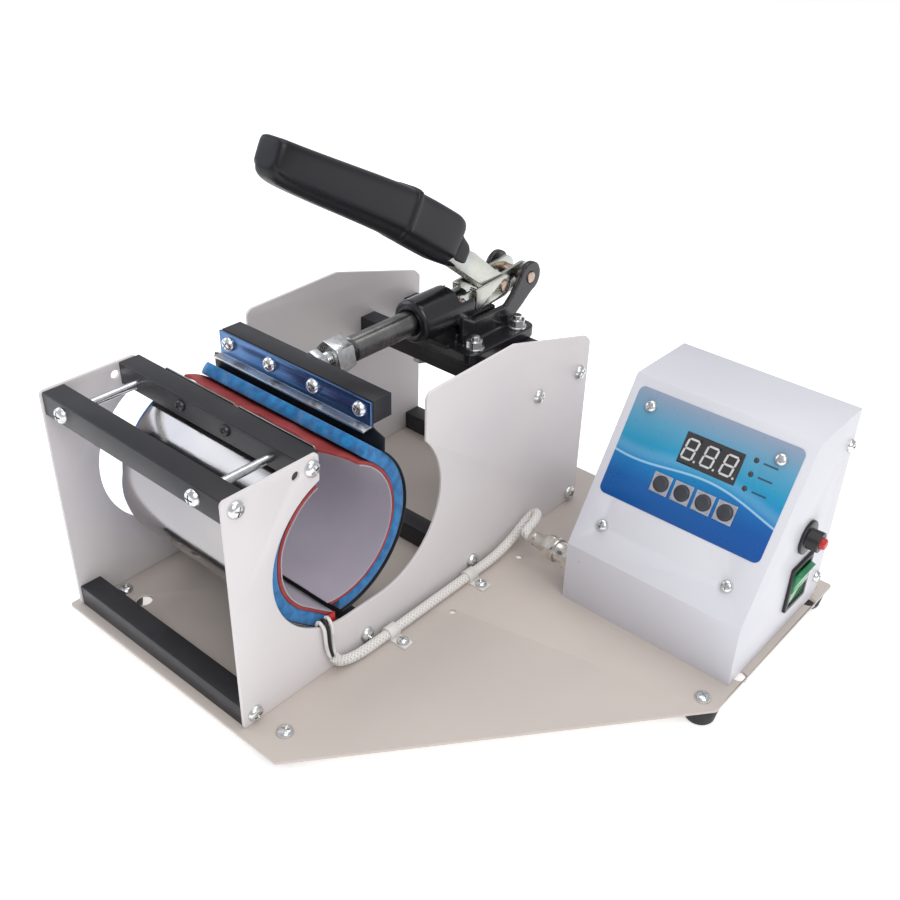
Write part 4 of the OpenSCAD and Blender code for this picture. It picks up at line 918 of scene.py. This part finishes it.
# (y, z) of the top edge and of the low edge in mm at each station from the tip to the neck, with
# the half width there and how far the step ring stands proud
GRIP = [((108.6, 280.8), (103.9, 271.0), 4.5, 0), ((109.8, 282.4), (102.7, 268.0), 8.0, 0),
        ((112.6, 282.4), (103.2, 263.6), 10.2, 0), ((117.5, 280.0), (107.5, 259.0), 11.4, 0),
        ((126.5, 275.4), (117.0, 252.6), 11.9, 0), ((144.5, 266.4), (134.0, 242.2), 12.0, 0),
        ((164.0, 256.8), (152.0, 231.6), 12.0, 0), ((184.0, 246.9), (170.0, 221.0), 12.0, 0),
        ((203.0, 237.3), (187.5, 210.4), 12.0, 0), ((209.0, 234.2), (193.0, 206.4), 12.0, 0),
        ((210.6, 233.4), (194.4, 205.5), 12.0, 0.9), ((213.2, 231.8), (197.0, 203.7), 12.0, 0.9),
        ((214.6, 230.8), (198.6, 202.6), 11.7, 0), ((231.0, 220.6), (212.5, 193.0), 11.5, 0),
        ((248.5, 209.2), (228.5, 182.3), 11.3, 0), ((254.0, 204.6), (235.5, 178.4), 11.0, 0),
        ((256.3, 200.2), (239.5, 176.2), 10.2, 0), ((254.6, 195.8), (241.0, 175.4), 8.6, 0),
        ((255.8, 192.4), (244.0, 173.8), 8.8, 0), ((261.0, 185.0), (251.5, 170.9), 8.8, 0),
        ((262.0, 180.6), (256.0, 170.6), 7.8, 0), ((261.2, 178.2), (258.2, 172.6), 5.0, 0)]
# half a section: how far down from the top edge, and the share of the half width
SECTION = [(0.0, 0.0), (0.0, 0.45), (0.012, 0.70), (0.045, 0.88), (0.11, 0.965), (0.2, 0.995), (0.42, 1.0),
           (0.66, 1.0), (0.73, 0.985), (0.765, 0.94), (0.785, 0.87), (0.81, 0.82), (0.86, 0.79), (0.93, 0.70),
           (0.98, 0.52), (1.0, 0.3), (1.0, 0.0)]
EASE = 0.4


def lofted_grip(name, paint, between=5):
    """Smooth sections between the stations, closed by a fan at each end."""
    rings, work = [], bmesh.new()
    for i in range(len(GRIP) - 1):
        for k in range(between if i < len(GRIP) - 2 else between + 1):
            t = k / between
            near = [GRIP[min(max(i + step, 0), len(GRIP) - 1)] for step in (-1, 0, 1, 2)]
            a, b, c, d = [[*top, *low, half, proud] for top, low, half, proud in near]
            here = [(2 * t ** 3 - 3 * t ** 2 + 1) * b[j] + (t ** 3 - 2 * t ** 2 + t) * EASE * (c[j] - a[j])
                    + (3 * t ** 2 - 2 * t ** 3) * c[j] + (t ** 3 - t ** 2) * EASE * (d[j] - b[j])
                    for j in range(6)]
            top, low = Vector(here[:2]), Vector(here[2:4])
            out = (top - low).normalized()
            ring = []
            for side in (1, -1):
                for down, share in (SECTION if side > 0 else SECTION[-2:0:-1]):
                    wide = share * here[4] + (here[5] * min(1.0, share * 1.2) if share > 0.5 else 0)
                    p = top.lerp(low, down) + out * (here[5] if down < 0.05 else 0)
                    ring.append(work.verts.new(press(side * wide, p.x, p.y)))
            rings.append(ring)
    for a, b in zip(rings, rings[1:]):
        for k in range(len(a)):
            n = (k + 1) % len(a)
            work.faces.new((a[k], a[n], b[n], b[k]))
    for ring in (rings[0], rings[-1]):
        middle = work.verts.new(sum((v.co for v in ring), Vector()) / len(ring))
        for k, v in enumerate(ring):
            work.faces.new((v, ring[(k + 1) % len(ring)], middle))
    return tidy_mesh(name, drawn(name, work), paint)


stands_for(lofted_grip("grip_moulding", moulding), "handle", "black_grip", "handle_grip")

# ---- Controller case ----
# A folded steel case on the base, powder coated a cooler white, with a flat top and a sloping
# face. A rear panel closes it, and the inlet and switches sit in its walls.
case_paint = powder_coat("case_powder_coat", (0.66, 0.66, 0.70), (0.60, 0.60, 0.65), 0.38)
dressed("case_shell", "press", "white_paint", case_paint, 0.9, name="case_folded_shell")
dressed("case_rear_panel", "press", "white_paint", case_paint, 0.4, name="case_back_panel")
TILT = math.radians(59.12)
FACE_X, FACE_Y, FACE_Z = 197.5, 209.0, 42.0


def face(u, v, out):
    """A place on the sloping face: across, up the slope, and out from it, in mm."""
    return press(FACE_X + u, FACE_Y + v * math.cos(TILT) - out * math.sin(TILT),
                 FACE_Z + v * math.sin(TILT) + out * math.cos(TILT))


FACE_OUT = (0, -math.sin(TILT), math.cos(TILT))
face_heads = [(face(u, v, 0.3 if v > 50 else 0), FACE_OUT) for u in (-42.5, 42.5) for v in (19.5, 97)]
side_heads = [(press(x, 316, z), (side, 0, 0)) for x, side in ((257, 1), (138, -1)) for z in (18, 116)]
heads = face_heads + side_heads
screws("case_screw_heads", "press", "nickel", "case_screws", [p for p, _ in heads], [d for _, d in heads], zinc,
       4, 2.6, 2, 6, 31)

# ---- Control panel ----
# A printed polyester film over the sloping face: grey-lilac fading through light blue to deep
# blue, with a light wave across it, three lamp dots and plain marks beside them.
film = Paint("overlay_print", Specular_IOR_Level=0.5)
split = film.add("SeparateXYZ", [film.place], 0)
across = (split - 0.10375) * 1000
raised = Value(film, split.socket.node.outputs[2])
up = (raised - 0.0555) * (1000 / math.sin(TILT))
tint = film.add("ValToRGB", [((up - 38) * (1 / 69))], 0, stops=[
    (0.0, (0.0, 0.075, 0.28)), (0.22, (0.0, 0.10, 0.34)), (0.40, (0.002, 0.20, 0.46)),
    (0.56, (0.012, 0.27, 0.46)), (0.76, (0.09, 0.31, 0.47)), (1.0, (0.26, 0.31, 0.41))])
wave = (across * 0.052 + 0.9).sine() * 4.2 + 66.0 - across * 0.07
below = (wave - up).smooth(-0.3, 0.3)
deep = (across * 0.02).smooth(-0.2, 1.2)
line = 1 - (up - wave).size().smooth(0.35, 0.95)
glow = 1 - (up - wave - 5).size().smooth(0.2, 6.0)


def mark(u, v, wide, tall):
    """A printed plain bar on the film."""
    return (1 - (across - u).size().smooth(wide / 2 - 0.1, wide / 2 + 0.1)) * (
        1 - (up - v).size().smooth(tall / 2 - 0.1, tall / 2 + 0.1))


colour = film.mix(below * (deep * 0.4 + 0.15), tint, (0.0, 0.06, 0.30))
colour = film.mix(glow * 0.12, colour, (0.55, 0.80, 0.90))
colour = film.mix(line * 0.55, colour, (0.50, 0.75, 0.86))
LAMPS_V = (91.3, 82.9, 74.1)
bars = mark(38.5, LAMPS_V[0], 9, 1.1)
for v in LAMPS_V[1:]:
    bars = bars.most(mark(38.5, v, 9, 1.1))
colour = film.mix(bars * 0.85, colour, (0.03, 0.03, 0.05))
film.set(Base_Color=colour, Roughness=film.noise(300.0, 3.0) * 0.1 + 0.24)
film.bump(film.noise(1100.0, 2.0), 0.00003, 0.4)

TACT_U, TACT_V = (-18, -3.8, 10.4, 24.6), 57
DISPLAY_U, DISPLAY_V = 4, 82.5


def box_outline(u, v, wide, tall, radius):
    return rounded([(u - wide / 2, v - tall / 2, radius), (u + wide / 2, v - tall / 2, radius),
                    (u + wide / 2, v + tall / 2, radius), (u - wide / 2, v + tall / 2, radius)])


windows = [box_outline(u, TACT_V, 12.2, 12.2, 0.4) for u in TACT_U]
windows.append(box_outline(DISPLAY_U, DISPLAY_V, 37.8, 19.2, 0.3))
windows += [circle((29.5, v), 1.6, 20) for v in LAMPS_V]
panel_film = sheet_part("overlay_film", box_outline(0, 72.5, 108, 69, 4), windows, 0.3,
                        lambda u, v, w: face(u, v, 0.15 + w), film, 0.06)
stands_for(panel_film, "press", "overlay_film", "face_overlay")

# ---- Display and lamps ----
# A three-digit display behind a dark window, its unlit segments pale grey, and three lamps.
window_glass = Paint("display_window", Base_Color=(0.022, 0.020, 0.022), Coat_Weight=0.7, Coat_Roughness=0.05)
window_glass.set(Roughness=window_glass.noise(200.0) * 0.06 + 0.1)
segment_paint = Paint("display_segment", Specular_IOR_Level=0.4)
segment_paint.set(Base_Color=segment_paint.mix(segment_paint.noise(400.0).smooth(0.3, 0.7), (0.62, 0.62, 0.60),
                                               (0.52, 0.52, 0.51)), Roughness=0.35)
dressed("display", "press", "display_black", window_glass, 0.3, name="display_block")
parts = []
half_w, half_h, wide = 3.4, 6.0, 1.25


def bar_shape(u, v, length, lying):
    """One six-sided segment."""
    a, t = length / 2 - 0.15, wide / 2
    ends = [(-a, 0), (-a + t, t), (a - t, t), (a, 0), (a - t, -t), (-a + t, -t)]
    lean = 0.12
    placed = [(x, y) if lying else (y, x) for x, y in ends]
    return [(u + x + lean * (v + y - DISPLAY_V), v + y) for x, y in placed]


for digit in (-12.6, 0, 12.6):
    u, v = DISPLAY_U + digit - 0.8, DISPLAY_V
    parts += [bar_shape(u, v + d * half_h, 2 * half_w, True) for d in (-1, 0, 1)]
    parts += [bar_shape(u + s * half_w, v + d * half_h / 2, half_h, False) for s in (-1, 1) for d in (-1, 1)]
    parts.append(circle((u + half_w + 1.5, v - half_h), 0.7, 16))
for number, shape in enumerate(parts):
    stands_for(sheet_part(f"segment_{number + 1}", shape, [], 0.3, lambda p, q, w: face(p, q, 0.12 + w),
                          segment_paint, 0.05), "press", "display_black")

smoked = Paint("lamp_dome", Base_Color=(0.02, 0.018, 0.022), Coat_Weight=0.6)
smoked.set(Roughness=smoked.noise(500.0) * 0.1 + 0.16)
for number, v in enumerate(LAMPS_V):
    dome = [(0, 0.75), (0.8, 0.62), (1.3, 0.3), (1.5, -0.2), (1.5, -6), (0, -6)]
    stands_for(turned(f"lamp_{number + 1}", dome,
                      face(29.5, v, 0), FACE_OUT, smoked, 24), "press", "lamp_dark", "indicator_lamps")

# ---- Buttons ----
# Four square tact switches with silvery cases and dark grey round caps, on the control board.
tact_metal = Paint("tact_case", Metallic=0.9)
tact_metal.mottle((300.0, 3.0), (0.3, 0.7), (0.62, 0.63, 0.66), (0.50, 0.51, 0.55),
                  (700.0, 2.0), 0.2, 0.22)
cap_plastic = Paint("button_cap", Specular_IOR_Level=0.4)
cap_plastic.mottle((120.0, 3.0), (0.3, 0.7), (0.030, 0.033, 0.042), (0.045, 0.048, 0.058),
                   (900.0,), 0.15, 0.38)
dressed("switch_bodies", "press", "switch_grey", tact_metal, 0.35, name="tact_cases")
for number in range(1, 5):
    dressed(f"button_{number}", f"key_{number}", "button_grey", cap_plastic, 0.5, name=f"tact_cap_{number}")

# ---- Switches and sockets on the right wall ----
# A black-framed green rocker, a resettable breaker with a red tip, and the mains inlet behind.
shell_plastic = Paint("black_plastic", Base_Color=(0.014, 0.014, 0.016), Specular_IOR_Level=0.45)
shell_plastic.set(Roughness=shell_plastic.noise(60.0, 3.0) * 0.15 + 0.3)
shell_plastic.bump(shell_plastic.noise(1600.0, 2.0), 0.00003, 0.5)
green_lens = Paint("green_lens", Coat_Weight=0.5, Coat_Roughness=0.08)
green_lens.mottle((80.0, 2.0), (0.2, 0.8), (0.01, 0.17, 0.06), (0.02, 0.30, 0.10), (300.0,), 0.1, 0.14)
red_plastic = Paint("red_tip", Specular_IOR_Level=0.5)
red_plastic.mottle((200.0,), (0.3, 0.7), (0.52, 0.02, 0.02), (0.40, 0.015, 0.02), (600.0,), 0.1, 0.25)
dressed("switch_frame", "press", "black_plastic", shell_plastic, 0.6, name="rocker_bezel")
dressed("switch_rocker", "rocker", "rocker_green", green_lens, 0.5, name="rocker_lens")
dressed("breaker_body", "press", "black_plastic", shell_plastic, 0.5, name="breaker_case")
dressed("breaker_button", "breaker_push", "button_red", red_plastic, 0.7, name="breaker_tip")
dressed("power_inlet", "press", "black_plastic", shell_plastic, 0.4, name="mains_socket")
laminate = Paint("green_laminate", Specular_IOR_Level=0.5)
tracks = laminate.cells(260.0, laminate.place, "DISTANCE_TO_EDGE")
laminate.set(Base_Color=laminate.mix(1 - tracks.smooth(0.04, 0.10), (0.01, 0.13, 0.06), (0.03, 0.24, 0.11)),
             Roughness=laminate.noise(120.0) * 0.1 + 0.3)
laminate.bump(tracks.smooth(0.04, 0.10), 0.00004, 0.5)
dressed("control_board", "press", "circuit_board", laminate, 0.15, name="control_circuit")
dressed("power_board", "press", "circuit_board", laminate, 0.15, name="power_circuit")
dressed("mounting_posts", "press", "zinc_steel", zinc, 0.25, name="board_posts")

# ---- Heater lead ----
# Two white wires and a black one leave the mat behind the right plate, join a braided glass-fibre
# sleeve, and run along the base under two clips to a nickel gland in the case wall.
wire_skin = Paint("wire_silicone", Specular_IOR_Level=0.4)
axes = wire_skin.add("SeparateXYZ", [wire_skin.place]).socket.node.outputs
along, tall = Value(wire_skin, axes[1]) * 1000 + 167.0, Value(wire_skin, axes[2]) * 1000 - 13.5
middle_wire = 1 - (along - 61.0 - (35.0 - tall) * 0.057).size().smooth(1.05, 1.3)
pale = wire_skin.mix(wire_skin.noise(150.0, 3.0).smooth(0.35, 0.75), (0.74, 0.73, 0.71), (0.60, 0.58, 0.55))
wire_skin.set(Base_Color=wire_skin.mix(middle_wire, pale, (0.012, 0.012, 0.014)),
              Roughness=wire_skin.noise(400.0) * 0.15 + 0.38)
dressed("heater_wires", "press", "wire_white", wire_skin, 0.1, 60, name="heater_leads")
dressed("earth_tab", "press", "tab_red", red_plastic, 0.12, name="earth_flag")
braid = Paint("glass_braid", Specular_IOR_Level=0.2)
slant = math.radians(38)
one = (braid.stretched(1.0, 1.0, 1.0, (0, 0, slant)))
ply = braid.add("TexWave", {"Vector": one, "Scale": 190.0, "Distortion": 1.2}, 1, wave_type="BANDS")
other = braid.stretched(1.0, 1.0, 1.0, (0, 0, -slant))
cross = braid.add("TexWave", {"Vector": other, "Scale": 190.0, "Distortion": 1.2}, 1, wave_type="BANDS")
strand = ply.most(cross)
braid.set(Base_Color=braid.mix(strand, (0.50, 0.48, 0.45), (0.80, 0.78, 0.75)),
          Roughness=braid.noise(300.0) * 0.1 + 0.75)
braid.bump(strand, 0.00025, 0.6)
dressed("cable_sleeve", "press", "sleeve_white", braid, 0.1, 70, name="braided_sleeve")
nylon = Paint("clip_nylon", Specular_IOR_Level=0.45)
nylon.mottle((90.0, 3.0), (0.3, 0.7), (0.72, 0.71, 0.68), (0.62, 0.61, 0.58), (300.0,), 0.12, 0.36)
nylon.bump(nylon.noise(800.0, 2.0), 0.00004, 0.4)
dressed("cable_clips", "press", "clip_nylon", nylon, 0.3, name="cable_p_clips")
screws("clip_screw_heads", "press", "nickel", "clip_screws", [press(93.75, y, 1.4) for y in (108, 181)],
       (0, 0, 1), zinc, 4, 2.4, 1.9, 5, 41)
nickel = Paint("gland_nickel", Metallic=1.0)
nickel.mottle((200.0, 3.0), (0.3, 0.7), (0.68, 0.66, 0.61), (0.55, 0.53, 0.49), (500.0, 3.0), 0.15, 0.14)
dressed("cable_gland", "press", "nickel", nickel, 0.3, name="gland_body")
